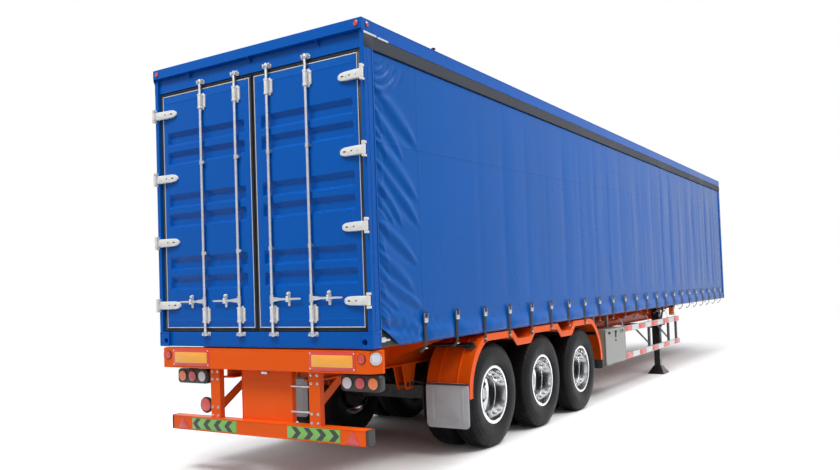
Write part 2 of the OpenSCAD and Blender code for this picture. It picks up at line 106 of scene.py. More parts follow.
class Slot(Enum):
    """The record's material slots."""

    BODY = "body_blue"
    CURTAIN = "curtain_blue"
    CHASSIS = "chassis_orange"
    TRACK = "track_grey"
    ROOF = "roof_cloth"
    BOW = "bow_alloy"
    FLOOR = "floor_board"
    SEAL = "seal_rubber"
    STEEL = "bright_steel"
    WEBBING = "webbing"
    HOUSING = "housing_black"
    RED = "lens_red"
    AMBER = "lens_amber"
    WHITE = "lens_white"
    REFLECTOR = "reflector_amber"
    GREEN = "board_green"
    AXLE = "axle_black"
    TYRE = "tyre"
    ALLOY = "wheel_alloy"
    FLAP = "flap_grey"
    BOX = "box_grey"
    GUARD = "guard_alloy"
    LEG = "leg_black"
    PLATE = "plate_steel"


# ------------------------------------------------------------------ surfaces


def smooth(low: float, high: float, x: Array) -> Array:
    """A smooth rise from 0 at low to 1 at high: 3 t squared minus 2 t cubed."""
    t = np.clip((x - low) / (high - low), 0.0, 1.0)
    return t * t * (3.0 - 2.0 * t)


def ladder(*stops: Pair) -> Array:
    """Numbers that climb from stop to stop, each stretch cut evenly into steps no longer than asked.

    Args:
        stops: pairs of a value and the longest step up to the next value.

    Returns:
        The rising numbers, with both ends.
    """
    parts = [
        np.linspace(a, b, max(2, math.ceil(abs(b - a) / step) + 1))[:-1]
        for (a, step), (b, _) in zip(stops[:-1], stops[1:])
    ]
    return np.concatenate([*parts, [stops[-1][0]]])


@dataclass
class Surface:
    """Points and four-sided faces, made by the functions below and joined with +."""

    points: Array
    faces: Array

    @staticmethod
    def grid(points: Array, wrap_rows: bool = False, wrap_cols: bool = False) -> "Surface":
        """Faces between neighbours of a (rows, columns, 3) block of points.

        Args:
            points: the block, one point for each pair of parameters.
            wrap_rows: whether the last row joins the first.
            wrap_cols: whether the last column joins the first.

        Returns:
            The surface over the block.
        """
        rows, cols = points.shape[:2]
        index = np.arange(rows * cols).reshape(rows, cols)
        index = np.vstack([index, index[:1]]) if wrap_rows else index
        index = np.hstack([index, index[:, :1]]) if wrap_cols else index
        corners = [index[:-1, :-1], index[:-1, 1:], index[1:, 1:], index[1:, :-1]]
        return Surface(points.reshape(-1, 3), np.stack(corners, -1).reshape(-1, 4))

    def __add__(self, other: "Surface") -> "Surface":
        """Both surfaces in one."""
        shifted = other.faces + len(self.points)
        return Surface(np.vstack([self.points, other.points]), np.vstack([self.faces, shifted]))

    def copies(self, shifts: Sequence[Point], turn: Array | None = None) -> "Surface":
        """A copy at each shift, all turned by one matrix first.

        Args:
            shifts: where the copies' origins go.
            turn: a 3 by 3 matrix, or None.

        Returns:
            The copies in one surface.
        """
        base = self.points if turn is None else self.points @ turn.T
        places = np.asarray(shifts, float).reshape(-1, 3)
        points = (places[:, None, :] + base[None, :, :]).reshape(-1, 3)
        steps = np.arange(len(places))[:, None, None] * len(base)
        return Surface(points, (self.faces[None] + steps).reshape(-1, 4))

    def mirrored(self) -> "Surface":
        """The same surface on the trailer's other side, with its faces turned back outwards."""
        return Surface(self.points * [1.0, -1.0, 1.0], self.faces[:, ::-1])

    def on(self, side: Side) -> "Surface":
        """The surface as it is on the left, or mirrored for the right."""
        return self if side is Side.LEFT else self.mirrored()

    def both(self) -> "Surface":
        """The surface and its mirror image."""
        return self + self.mirrored()


def joined(parts: Sequence[Surface]) -> Surface:
    """All the surfaces in one."""
    whole = parts[0]
    for part in parts[1:]:
        whole = whole + part
    return whole


def carried(points: Array, axis: Axis) -> Array:
    """Points made along Z, turned so that the long direction lies on an axis: the coordinates go round."""
    return np.roll(points, {Axis.X: 1, Axis.Y: -1, Axis.Z: 0}[axis], axis=-1)


def lofted(stations: Array, capped: bool = True, ring: bool = False) -> Surface:
    """A skin through closed outlines, one after the other, each end closed to its outline's middle.

    Args:
        stations: (outlines, points, 3).
        capped: whether the two ends are closed.
        ring: whether the last outline joins the first.

    Returns:
        The skin.
    """
    if capped and not ring:
        ends = stations[[0, -1]].mean(axis=1, keepdims=True).repeat(stations.shape[1], axis=1)
        stations = np.concatenate([ends[:1], stations, ends[1:]])
    return Surface.grid(stations, wrap_rows=ring, wrap_cols=True)


def turned(profile: Sequence[Pair], segments: int = 32, axis: Axis = Axis.X,
           centre: Point = (0.0, 0.0, 0.0)) -> Surface:
    """A profile turned about an axis: each point is (r cos a, r sin a) across it and h along it.

    Args:
        profile: pairs of height along the axis and radius.
        segments: how many steps make the full turn.
        axis: the axis it turns about.
        centre: a point on that axis, where the height is 0.

    Returns:
        The turned surface.
    """
    height, radius = np.asarray(profile, float).T[:, :, None]
    angle = np.linspace(0.0, 2.0 * math.pi, segments, endpoint=False)[None, :]
    across, up = radius * np.cos(angle), radius * np.sin(angle)
    points = np.stack([across, up, height + 0.0 * angle], -1)
    return Surface.grid(carried(points, axis) + np.asarray(centre), wrap_cols=True)


def round_bar(start: Point, end: Point, radius: float, segments: int = 16, edge: float = 0.002) -> Surface:
    """A straight round bar between two points, with its rims rounded off by edge."""
    line = np.asarray(end, float) - np.asarray(start, float)
    length = float(np.linalg.norm(line))
    edge = min(edge, radius * 0.5)
    profile = [(0, 0), (0, radius - edge), (edge * 0.3, radius - edge * 0.3), (edge, radius),
               (length - edge, radius), (length - edge * 0.3, radius - edge * 0.3), (length, radius - edge),
               (length, 0)]
    return turned(profile, segments, Axis.Z).copies([start], pointing(tuple(line)))


def pointing(direction: Point) -> Array:
    """The matrix that turns +Z to a direction, keeping the piece upright where it can."""
    w = np.asarray(direction, float) / np.linalg.norm(direction)
    helper = np.array([0.0, 0.0, 1.0]) if abs(w[2]) < 0.9 else np.array([1.0, 0.0, 0.0])
    u = np.cross(helper, w)
    u /= np.linalg.norm(u)
    return np.stack([u, np.cross(w, u), w], axis=1)


TO_REAR = pointing((-1, 0, 0))


def outline(width: float, height: float, corner: float, steps: int = 2) -> Array:
    """A rectangle about the origin with its corners rounded: a quarter circle of steps at each."""
    corner = max(min(corner, width / 2 - 1e-5, height / 2 - 1e-5), 1e-5)
    turn = np.linspace(0.0, math.pi / 2, steps + 1)
    middles = np.array([[1, 1], [-1, 1], [-1, -1], [1, -1]]) * [width / 2 - corner, height / 2 - corner]
    angles = turn[None, :] + (np.arange(4) * math.pi / 2)[:, None]
    arcs = corner * np.stack([np.cos(angles), np.sin(angles)], -1)
    return (middles[:, None, :] + arcs).reshape(-1, 2)


def slab(low: Point, high: Point, edge: float = 0.003, corner: float = 0.0, axis: Axis = Axis.Z,
         steps: int = 2) -> Surface:
    """A block with rounded edges: a rounded rectangle carried along an axis and drawn in at both ends.

    Args:
        low: its lowest corner.
        high: its highest corner.
        edge: how far the two end faces' rims are rounded.
        corner: the radius of the outline's corners, at least edge.
        axis: the axis the outline is carried along.
        steps: how many steps round a corner.

    Returns:
        The closed block.
    """
    unroll = {Axis.X: -1, Axis.Y: 1, Axis.Z: 0}[axis]
    lo, hi = np.roll(np.asarray(low, float), unroll), np.roll(np.asarray(high, float), unroll)
    size, middle = hi - lo, (hi + lo) / 2
    edge = min(edge, *(size / 2.01))
    corner = max(corner, edge)
    levels = [(lo[2], edge), (lo[2] + 0.3 * edge, 0.3 * edge), (lo[2] + edge, 0.0), (hi[2] - edge, 0.0),
              (hi[2] - 0.3 * edge, 0.3 * edge), (hi[2], edge)]
    rings = [
        np.column_stack([
            outline(size[0] - 2 * inset, size[1] - 2 * inset, corner - inset, steps) + middle[:2],
            np.full(4 * (steps + 1), level)])
        for level, inset in levels
    ]
    return lofted(carried(np.stack(rings), axis))


def swept(section: Array, path: Array, up: Point = (0.0, 0.0, 1.0), ring: bool = False) -> Surface:
    """A flat section carried along a path: each point is path + across * side + height * normal.

    Args:
        section: (points, 2) across and height, closed.
        path: (stations, 3).
        up: the direction the section's height leans to.
        ring: whether the path is closed.

    Returns:
        The swept surface.
    """
    path = np.asarray(path, float)
    ahead = np.roll(path, -1, 0) - np.roll(path, 1, 0) if ring else np.gradient(path, axis=0)
    ahead /= np.linalg.norm(ahead, axis=1, keepdims=True)
    side = np.cross(ahead, np.asarray(up, float))
    side /= np.linalg.norm(side, axis=1, keepdims=True)
    normal = np.cross(side, ahead)
    stations = path[:, None] + section[None, :, :1] * side[:, None] + section[None, :, 1:] * normal[:, None]
    return lofted(stations, ring=ring)


def circle(radius: float, steps: int = 10) -> Array:
    """A circle as a closed outline."""
    angle = np.linspace(0.0, 2.0 * math.pi, steps, endpoint=False)
    return radius * np.stack([np.cos(angle), np.sin(angle)], -1)


def hexagon_bolt(radius: float, height: float, thread: float = 0.0) -> Surface:
    """A hexagonal head on a thin washer, standing on the origin along Z, with a stub of thread if asked."""
    washer = turned([(0, 0), (0, radius * 1.35), (height * 0.18, radius * 1.35),
                     (height * 0.2, radius * 0.9)],
                    12, Axis.Z)
    head = turned([(height * 0.15, radius), (height * 0.85, radius), (height, radius * 0.82), (height, 0)],
                  6, Axis.Z)
    if not thread:
        return washer + head
    stub = turned([(height * 0.9, radius * 0.5), (height + thread, radius * 0.5), (height + thread, 0)], 8,
                  Axis.Z)
    return washer + head + stub


# ------------------------------------------------------------------ pieces


@dataclass
class Piece:
    """A finished object of the scene on its way in: its name, the body it rides on and its slot."""

    name: str
    body: str
    slot: Slot
    stands_for: tuple[str, ...] = ()

    def place(self, thing: Thing) -> Thing:
        """Ties an object to its body, hides the nodes it replaces, and reports it."""
        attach(thing, self.body)
        if self.stands_for:
            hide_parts(*self.stands_for)
        LOG.info("%s: %d faces on %s", self.name, len(thing.data.polygons), self.body)
        return thing

    def of(self, surface: Surface, *finishes: "Finish", crease: float = 35.0, closed: bool = True) -> Thing:
        """Makes the object of a surface.

        Args:
            surface: its points and faces.
            finishes: its materials, the first of them for every face.
            crease: edges sharper than this many degrees stay sharp.
            closed: whether the surface bounds a solid, so that its faces can be turned outwards.

        Returns:
            The object, in its place.
        """
        mesh = bpy.data.meshes.new(self.name)
        mesh.from_pydata(surface.points.tolist(), [], surface.faces.tolist())
        tidy(mesh, closed)
        return self.place(shaded(self.name, mesh, finishes, crease))


def fixed(name: str, slot: Slot, *stands_for: str) -> Piece:
    """A piece that rides on the trailer's own body."""
    return Piece(name, "trailer", slot, stands_for)


def tidy(mesh: bpy.types.Mesh, closed: bool) -> None:
    """Merges points that coincide, drops faces that have closed up, and turns a closed skin outwards."""
    work = bmesh.new()
    work.from_mesh(mesh)
    bmesh.ops.remove_doubles(work, verts=work.verts, dist=2e-5)
    bmesh.ops.dissolve_degenerate(work, edges=work.edges, dist=1e-6)
    if closed:
        bmesh.ops.recalc_face_normals(work, faces=work.faces)
    work.to_mesh(mesh)
    work.free()


def shaded(name: str, mesh: bpy.types.Mesh, finishes: Sequence["Finish"], crease: float) -> Thing:
    """Puts a mesh into the scene, shaded smooth up to a crease angle, with its materials."""
    mesh.polygons.foreach_set("use_smooth", np.ones(len(mesh.polygons), bool))
    mesh.set_sharp_from_angle(angle=math.radians(crease))
    for finish in finishes:
        mesh.materials.append(finish.material())
    thing = bpy.data.objects.new(name, mesh)
    bpy.context.scene.collection.objects.link(thing)
    return thing


def softened(node: str, width: float, slot: Slot, finish: "Finish", steps: int = 2,
             zones: Sequence[tuple["Finish", Callable[[Array], Array]]] = ()) -> Thing:
    """A copy of a CAD node with its corners merged and its edges rolled over by a bevel.

    Args:
        node: the CAD node that the copy stands for.
        width: the bevel's width.
        slot: the record's slot.
        finish: its material.
        steps: how many steps the bevel takes.
        zones: further finishes, each with a test of the faces' middles that says where it goes.

    Returns:
        The object.
    """
    source = frame["nodes"][node]
    points = np.zeros(len(source.data.vertices) * 3)
    source.data.vertices.foreach_get("co", points)
    source.data.calc_loop_triangles()
    corners = np.zeros(len(source.data.loop_triangles) * 3, np.int32)
    source.data.loop_triangles.foreach_get("vertices", corners)
    mesh = bpy.data.meshes.new(node + "_dressed")
    mesh.from_pydata(points.reshape(-1, 3).tolist(), [], corners.reshape(-1, 3).tolist())
    work = bmesh.new()
    work.from_mesh(mesh)
    bmesh.ops.remove_doubles(work, verts=work.verts, dist=2e-5)
    bmesh.ops.dissolve_limit(work, angle_limit=math.radians(0.6), verts=work.verts, edges=work.edges)
    work.to_mesh(mesh)
    work.free()
    thing = shaded(node + "_dressed", mesh, [finish, *[zone[0] for zone in zones]], 30.0)
    if zones:
        middles = np.zeros(len(mesh.polygons) * 3)
        mesh.polygons.foreach_get("center", middles)
        middles = middles.reshape(-1, 3)
        index = np.zeros(len(middles), np.int32)
        for number, (_, test) in enumerate(zones, start=1):
            index[test(middles)] = number
        mesh.polygons.foreach_set("material_index", index)
    bevel = thing.modifiers.new("rolled_edges", "BEVEL")
    bevel.width, bevel.segments = width, steps
    bevel.limit_method, bevel.angle_limit = "ANGLE", math.radians(32.0)
    bevel.harden_normals = True
    return Piece(thing.name, source["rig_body"], slot, (node,)).place(thing)


def dressed(node: str, finish: "Finish") -> None:
    """Gives a CAD node that stays as it is its finish."""
    mesh = frame["nodes"][node].data
    mesh.materials.clear()
    mesh.materials.append(finish.material())
    LOG.info("%s: dressed", node)


# ------------------------------------------------------------------ shader effects


def linear(colour: Colour) -> tuple[float, float, float, float]:
    """A colour as it is written for a screen, turned into the light it stands for."""
    c = np.asarray(colour, float)
    light = np.where(c <= 0.04045, c / 12.92, ((c + 0.055) / 1.055) ** 2.4)
    return (float(light[0]), float(light[1]), float(light[2]), 1.0)


FLOAT, VECTOR, COLOUR = "NodeSocketFloat", "NodeSocketVector", "NodeSocketColor"


class Graph:
    """A node tree being wired."""

    def __init__(self, tree: bpy.types.NodeTree) -> None:
        """Takes the tree that nodes go into."""
        self.tree = tree

    def add(self, kind: str, inputs: dict | None = None, **settings: object) -> Node:
        """Adds a node.

        Args:
            kind: its type name without the ShaderNode in front.
            inputs: socket names or numbers, each with a value or with the socket that feeds it.
            settings: the node's own properties.

        Returns:
            The node.
        """
        node = self.tree.nodes.new("ShaderNode" + kind if not kind.startswith("Node") else kind)
        for key, value in settings.items():
            setattr(node, key, value)
        for key, value in (inputs or {}).items():
            if isinstance(value, Socket):
                self.tree.links.new(value, node.inputs[key])
            else:
                node.inputs[key].default_value = value
        return node

    def math(self, operation: str, *values: object) -> Socket:
        """One sum on numbers or sockets."""
        return self.add("Math", dict(enumerate(values)), operation=operation).outputs[0]

    def noise(self, place: Socket, scale: object, detail: float = 3.0) -> Socket:
        """Soft noise from 0 to 1 over a place."""
        return self.add("TexNoise", {"Vector": place, "Scale": scale, "Detail": detail}).outputs["Fac"]

    def ramp(self, value: Socket, low: float, high: float, to_low: object = 0.0,
             to_high: object = 1.0) -> Socket:
        """A value carried smoothly from one range to another, and held at its ends."""
        inputs = {"Value": value, "From Min": low, "From Max": high, "To Min": to_low, "To Max": to_high}
        return self.add("MapRange", inputs, interpolation_type="SMOOTHSTEP").outputs["Result"]

    def mix(self, share: object, first: object, second: object) -> Socket:
        """Two colours mixed by a share."""
        return self.add("Mix", {0: share, 6: first, 7: second}, data_type="RGBA").outputs[2]


class Effect:
    """A shader effect that several finishes share, built once as a node group."""

    name: str = ""
    inputs: dict[str, tuple[str, object]] = {}
    outputs: dict[str, str] = {}

    def wire(self, graph: Graph, given: Node) -> dict[str, Socket]:
        """Builds the inside of the group, and says which socket feeds which output."""
        raise NotImplementedError

    def tree(self) -> bpy.types.NodeTree:
        """The group, made the first time it is asked for."""
        found = bpy.data.node_groups.get(self.name)
        if found:
            return found
        tree = bpy.data.node_groups.new(self.name, "ShaderNodeTree")
        for label, (kind, default) in self.inputs.items():
            socket = tree.interface.new_socket(label, in_out="INPUT", socket_type=kind)
            if default is not None:
                socket.default_value = default
        for label, kind in self.outputs.items():
            tree.interface.new_socket(label, in_out="OUTPUT", socket_type=kind)
        graph = Graph(tree)
        given = graph.add("NodeGroupInput")
        graph.add("NodeGroupOutput", self.wire(graph, given))
        return tree

    def use(self, graph: Graph, **values: object) -> Node:
        """Places the group in a material, with this material's own values."""
        node = graph.add("Group", node_tree=self.tree())
        for key, value in values.items():
            if isinstance(value, Socket):
                graph.tree.links.new(value, node.inputs[key])
            else:
                node.inputs[key].default_value = value
        return node


class Mottle(Effect):
    """Slow changes of shade over a surface, as in sprayed paint or a rolled sheet."""

    name = "mottle"
    inputs = {"Place": (VECTOR, None), "Colour": (COLOUR, (1, 1, 1, 1)),
              "Patches": (FLOAT, 1.0), "Amount": (FLOAT, 0.05)}
    outputs = {"Colour": COLOUR, "Mask": FLOAT}

    def wire(self, graph: Graph, given: Node) -> dict[str, Socket]:
        """The colour's value is one plus noise about zero, times the amount."""
        soft = graph.noise(given.outputs["Place"], given.outputs["Patches"], 4.0)
        mask = graph.ramp(soft, 0.3, 0.7)
        change = graph.math("MULTIPLY_ADD", graph.math("SUBTRACT", mask, 0.5), given.outputs["Amount"], 1.0)
        tone = graph.add("HueSaturation", {"Color": given.outputs["Colour"], "Value": change})
        return {"Colour": tone.outputs[0], "Mask": mask}


class RoadDust(Effect):
    """Dust thrown up from the road: most at the bottom of the trailer, in streaks and spots."""

    name = "road_dust"
    inputs = {"Place": (VECTOR, None), "Reach": (FLOAT, 1.2),
              "Amount": (FLOAT, 0.2)}
    outputs = {"Mask": FLOAT}

    def wire(self, graph: Graph, given: Node) -> dict[str, Socket]:
        """The mask falls with height up to the reach, and noise breaks it up."""
        height = graph.add("SeparateXYZ", {0: given.outputs["Place"]}).outputs["Z"]
        low = graph.math("SUBTRACT", 1.0, graph.math("DIVIDE", height, given.outputs["Reach"]))
        spots = graph.ramp(graph.noise(given.outputs["Place"], 9.0, 6.0), 0.35, 0.75)
        mask = graph.math("MULTIPLY", graph.math("MAXIMUM", low, 0.0), spots)
        return {"Mask": graph.math("MULTIPLY", mask, given.outputs["Amount"])}


class Grain(Effect):
    """Fine roughness of a skin, such as the peel of sprayed paint or of cast rubber."""

    name = "skin_grain"
    inputs = {"Place": (VECTOR, None), "Scale": (FLOAT, 200.0),
              "Depth": (FLOAT, 0.0001)}
    outputs = {"Height": FLOAT}

    def wire(self, graph: Graph, given: Node) -> dict[str, Socket]:
        """Noise about zero, times the depth."""
        fine = graph.noise(given.outputs["Place"], given.outputs["Scale"], 2.0)
        centred = graph.math("SUBTRACT", fine, 0.5)
        return {"Height": graph.math("MULTIPLY", centred, given.outputs["Depth"])}


class Weave(Effect):
    """Crossing threads under a coating or in webbing, along two of the axes."""

    name = "weave"
    inputs = {"Place": (VECTOR, None), "Threads": (FLOAT, 900.0),
              "Depth": (FLOAT, 0.00005)}
    outputs = {"Height": FLOAT, "Mask": FLOAT}

    def wire(self, graph: Graph, given: Node) -> dict[str, Socket]:
        """The product of a sine along the length and a sine along the height."""
        axes = graph.add("SeparateXYZ", {0: given.outputs["Place"]}).outputs
        waves = [graph.math("SINE", graph.math("MULTIPLY", axes[i], given.outputs["Threads"]))
                 for i in ("X", "Z")]
        cross = graph.math("MULTIPLY", waves[0], waves[1])
        return {"Height": graph.math("MULTIPLY", cross, given.outputs["Depth"]),
                "Mask": graph.math("MULTIPLY_ADD", cross, 0.5, 0.5)}


class Scuffs(Effect):
    """Thin bright scratches and dull rubbed spots."""

    name = "scuffs"
    inputs = {"Place": (VECTOR, None), "Scale": (FLOAT, 6.0),
              "Amount": (FLOAT, 0.3)}
    outputs = {"Mask": FLOAT}

    def wire(self, graph: Graph, given: Node) -> dict[str, Socket]:
        """Thin cell edges of a bent cell pattern, kept only where a slow noise is high."""
        bent = graph.add("TexNoise", {"Vector": given.outputs["Place"], "Scale": 3.0}).outputs["Color"]
        place = graph.add("VectorMath", {0: given.outputs["Place"], 1: bent}, operation="ADD").outputs[0]
        cells = graph.add("TexVoronoi", {"Vector": place, "Scale": given.outputs["Scale"]},
                          feature="DISTANCE_TO_EDGE").outputs["Distance"]
        thin = graph.ramp(cells, 0.0, 0.012, 1.0, 0.0)
        where = graph.ramp(graph.noise(given.outputs["Place"], 4.0), 0.52, 0.68)
        return {"Mask": graph.math("MULTIPLY", graph.math("MULTIPLY", thin, where), given.outputs["Amount"])}


# ------------------------------------------------------------------ finishes


@dataclass(frozen=True)
class Finish:
    """A finish: one shader with slow changes of shade, a fine skin, road dust and scuffs over it."""

    name: str
    colour: Colour
    roughness: float = 0.4
    metallic: float = 0.0
    coat: float = 0.0
    shade: float = 0.06
    patches: float = 1.3
    peel: float = 0.00002
    peel_scale: float = 260.0
    dust: float = 0.0
    dust_reach: float = 1.3
    scuff: float = 0.0
    scuff_colour: Colour = (0.75, 0.75, 0.76)
    specular: float = 0.5

    def pattern(self, graph: Graph, place: Socket, colour: Socket) -> Socket:
        """The colour with this finish's own pattern; a plain finish has none."""
        return colour

    def relief(self, graph: Graph, place: Socket) -> Socket:
        """The height of the skin, in metres."""
        return Grain().use(graph, Place=place, Scale=self.peel_scale, Depth=self.peel).outputs["Height"]

    def tune(self, shader: Node) -> None:
        """Sets the shader's plain values that this kind of finish needs."""

    def material(self) -> bpy.types.Material:
        """The material, built the first time it is asked for."""
        found = bpy.data.materials.get(self.name)
        if found:
            return found
        material = bpy.data.materials.new(self.name)
        material.use_nodes = True
        material.node_tree.nodes.clear()
        graph = Graph(material.node_tree)
        place = graph.add("TexCoord").outputs["Object"]
        toned = Mottle().use(graph, Place=place, Colour=linear(self.colour), Patches=self.patches,
                             Amount=self.shade)
        colour = self.pattern(graph, place, toned.outputs["Colour"])
        rough = graph.math("MULTIPLY_ADD", toned.outputs["Mask"], 0.25 * self.roughness,
                           0.87 * self.roughness)
        if self.scuff:
            scuffed = Scuffs().use(graph, Place=place, Amount=self.scuff).outputs["Mask"]
            colour = graph.mix(scuffed, colour, linear(self.scuff_colour))
        if self.dust:
            dusty = RoadDust().use(graph, Place=place, Reach=self.dust_reach,
                                   Amount=self.dust).outputs["Mask"]
            colour = graph.mix(dusty, colour, linear((0.55, 0.52, 0.48)))
            rough = graph.math("ADD", rough, graph.math("MULTIPLY", dusty, 0.4))
        bump = graph.add("Bump", {"Height": self.relief(graph, place), "Distance": 1.0, "Strength": 1.0})
        shader = graph.add("BsdfPrincipled",
                           {"Base Color": colour, "Roughness": rough, "Normal": bump.outputs[0]})
        shader.inputs["Metallic"].default_value = self.metallic
        shader.inputs["Specular IOR Level"].default_value = self.specular
        shader.inputs["Coat Weight"].default_value = self.coat
        shader.inputs["Coat Roughness"].default_value = 0.12
        self.tune(shader)
        graph.add("OutputMaterial", {"Surface": shader.outputs[0]})
        return material


@dataclass(frozen=True)
class Tarpaulin(Finish):
    """Coated cloth: crossing threads under a smooth coat, and lines where lengths of it are welded."""

    threads: float = 2600.0
    thread_depth: float = 0.000004
    crumple: float = 0.0005
    seam_slope: float = 0.0
    seam_height: float = 0.0
    uprights: tuple[float, ...] = ()

    def seam(self, graph: Graph, place: Socket, half: float) -> Socket:
        """A mask near the long weld, which rises a little to the front, and near each upright one."""
        axes = graph.add("SeparateXYZ", {0: place}).outputs
        line = graph.math("MULTIPLY_ADD", axes["X"], -self.seam_slope, axes["Z"])
        away = graph.math("ABSOLUTE", graph.math("SUBTRACT", line, self.seam_height))
        for x in self.uprights:
            away = graph.math("MINIMUM", away, graph.math("ABSOLUTE", graph.math("SUBTRACT", axes["X"], x)))
        return graph.ramp(away, half * 0.5, half, 1.0, 0.0)

    def pattern(self, graph: Graph, place: Socket, colour: Socket) -> Socket:
        """The weld lines are a little darker than the cloth."""
        if not self.seam_height:
            return colour
        darker = graph.add("HueSaturation", {"Color": colour, "Value": 0.8}).outputs[0]
        return graph.mix(self.seam(graph, place, 0.007), colour, darker)

    def relief(self, graph: Graph, place: Socket) -> Socket:
        """Threads, slow crumples drawn out along the height, and the step of a weld."""
        woven = Weave().use(graph, Place=place, Threads=self.threads,
                            Depth=self.thread_depth).outputs["Height"]
        long = graph.add("Mapping", {"Vector": place, "Scale": (1.0, 1.0, 0.3)}).outputs[0]
        slack = graph.math("MULTIPLY", graph.noise(long, 5.0, 1.5), self.crumple)
        height = graph.math("ADD", woven, slack)
        if self.seam_height:
            height = graph.math("MULTIPLY_ADD", self.seam(graph, place, 0.02), 0.0007, height)
        return height


@dataclass(frozen=True)
class Brushed(Finish):
    """Metal with fine lines drawn along one axis."""

    lines: Point = (2.0, 260.0, 260.0)
    line_depth: float = 0.00002

    def relief(self, graph: Graph, place: Socket) -> Socket:
        """Noise stretched along the axis with the smallest number."""
        drawn = graph.add("Mapping", {"Vector": place, "Scale": self.lines}).outputs[0]
        return graph.math("MULTIPLY", graph.noise(drawn, 1.0, 2.0), self.line_depth)


@dataclass(frozen=True)
class Retro(Finish):
    """Reflecting film: a net of small six-sided cells with pale borders."""

    cells: float = 160.0

    def pattern(self, graph: Graph, place: Socket, colour: Socket) -> Socket:
        """Each cell keeps the colour, and its border is lighter."""
        edge = graph.add("TexVoronoi", {"Vector": place, "Scale": self.cells, "Randomness": 0.15},
                         feature="DISTANCE_TO_EDGE").outputs["Distance"]
        lighter = graph.add("HueSaturation", {"Color": colour, "Value": 1.2, "Saturation": 0.85}).outputs[0]
        return graph.mix(graph.ramp(edge, 0.02, 0.07, 0.6, 0.0), colour, lighter)


@dataclass(frozen=True)
class Lens(Finish):
    """A moulded lamp lens: rows of small prisms under a clear skin, lit a little from inside."""

    prisms: float = 420.0
    glow: float = 0.06

    def relief(self, graph: Graph, place: Socket) -> Socket:
        """The product of a sine across and a sine up the lens."""
        axes = graph.add("SeparateXYZ", {0: place}).outputs
        waves = [graph.math("SINE", graph.math("MULTIPLY", axes[i], self.prisms)) for i in ("Y", "Z")]
        return graph.math("MULTIPLY", graph.math("MULTIPLY", *waves), 0.0005)

    def tune(self, shader: Node) -> None:
        """A clear coat, and the lens's own colour as a faint glow."""
        shader.inputs["Coat Weight"].default_value = 1.0
        shader.inputs["Coat Roughness"].default_value = 0.04
        shader.inputs["Emission Color"].default_value = linear(self.colour)
        shader.inputs["Emission Strength"].default_value = self.glow


@dataclass(frozen=True)
class Rubber(Finish):
    """Rubber: dull, with a low sheen."""

    def tune(self, shader: Node) -> None:
        """A little sheen, as rubber shows at its edges."""
        shader.inputs["Sheen Weight"].default_value = 0.02
        shader.inputs["Sheen Roughness"].default_value = 0.5


@dataclass(frozen=True)
class Board(Finish):
    """Faced boards laid crosswise, with dark joints between them."""

    board: float = 1.22

    def pattern(self, graph: Graph, place: Socket, colour: Socket) -> Socket:
        """Streaks of grain across the floor, and a dark line at each joint."""
        along = graph.add("Mapping", {"Vector": place, "Scale": (60.0, 3.0, 3.0)}).outputs[0]
        streak = graph.ramp(graph.noise(along, 1.0, 4.0), 0.35, 0.65)
        grained = graph.mix(streak, colour, linear((0.30, 0.20, 0.13)))
        axes = graph.add("SeparateXYZ", {0: place}).outputs
        beat = graph.math("ABSOLUTE", graph.math("SUBTRACT", graph.math("FRACT", graph.math(
            "MULTIPLY", axes["X"], 1.0 / self.board)), 0.5))
        return graph.mix(graph.ramp(beat, 0.0, 0.006, 1.0, 0.0), grained, linear((0.06, 0.05, 0.04)))


BODY_BLUE = Finish("body_blue_paint", (0.0, 0.345, 0.70), roughness=0.28, coat=0.0, shade=0.05, dust=0.05,
                   specular=0.11)
CURTAIN_BLUE = Tarpaulin("curtain_blue_cloth", (0.0, 0.345, 0.675), roughness=0.28, coat=0.0, shade=0.07,
                         specular=0.10,
                         patches=0.8, seam_slope=0.0245, seam_height=3.005, uprights=(-6.01, -2.2, 2.4),
                         dust=0.04)
ORANGE = Finish("chassis_orange_paint", (0.93, 0.355, 0.035), roughness=0.33, coat=0.0, shade=0.06,
                dust=0.08, specular=0.15,
                scuff=0.08, scuff_colour=(0.55, 0.25, 0.10))
TRACK = Brushed("track_grey_paint", (0.255, 0.27, 0.30), roughness=0.5, metallic=0.0, specular=0.08,
                shade=0.10)
ROOF_CLOTH = Tarpaulin("roof_cloth_white", (0.60, 0.61, 0.63), roughness=0.75, specular=0.08, shade=0.05,
                        crumple=0.002)
BOW = Brushed("bow_alloy_mill", (0.72, 0.73, 0.74), roughness=0.4, metallic=0.9, lines=(260.0, 2.0, 260.0))
FLOOR = Board("floor_faced_board", (0.44, 0.29, 0.18), roughness=0.55, scuff=0.25, shade=0.2)
SEAL = Rubber("seal_black_rubber", (0.085, 0.09, 0.10), roughness=0.55, peel=0.00008, shade=0.2)
STEEL = Finish("galvanised_steel", (0.74, 0.75, 0.77), roughness=0.34, metallic=0.85, shade=0.16,
               patches=45.0,
               peel=0.00008, peel_scale=120.0, scuff=0.15)
HINGE = Finish("hinge_white_zinc", (0.88, 0.88, 0.87), roughness=0.34, metallic=0.2, shade=0.08,
               patches=20.0,
               peel=0.0001, peel_scale=140.0, scuff=0.10, scuff_colour=(0.45, 0.45, 0.46))
WEBBING = Tarpaulin("webbing_black", (0.075, 0.078, 0.085), roughness=0.7, shade=0.15, threads=1900.0,
                    thread_depth=0.0003, crumple=0.0)
HOUSING = Finish("housing_black_plastic", (0.085, 0.09, 0.095), roughness=0.42, shade=0.15, peel=0.0001,
                 peel_scale=500.0, dust=0.12)
RED = Lens("lens_red_moulded", (0.80, 0.05, 0.09), roughness=0.22)
AMBER = Lens("lens_amber_moulded", (0.98, 0.50, 0.06), roughness=0.22)
WHITE = Lens("lens_white_moulded", (0.86, 0.87, 0.90), roughness=0.18, glow=0.03)
YELLOW_FILM = Retro("film_amber", (0.985, 0.655, 0.10), roughness=0.35, coat=0.5, shade=0.03)
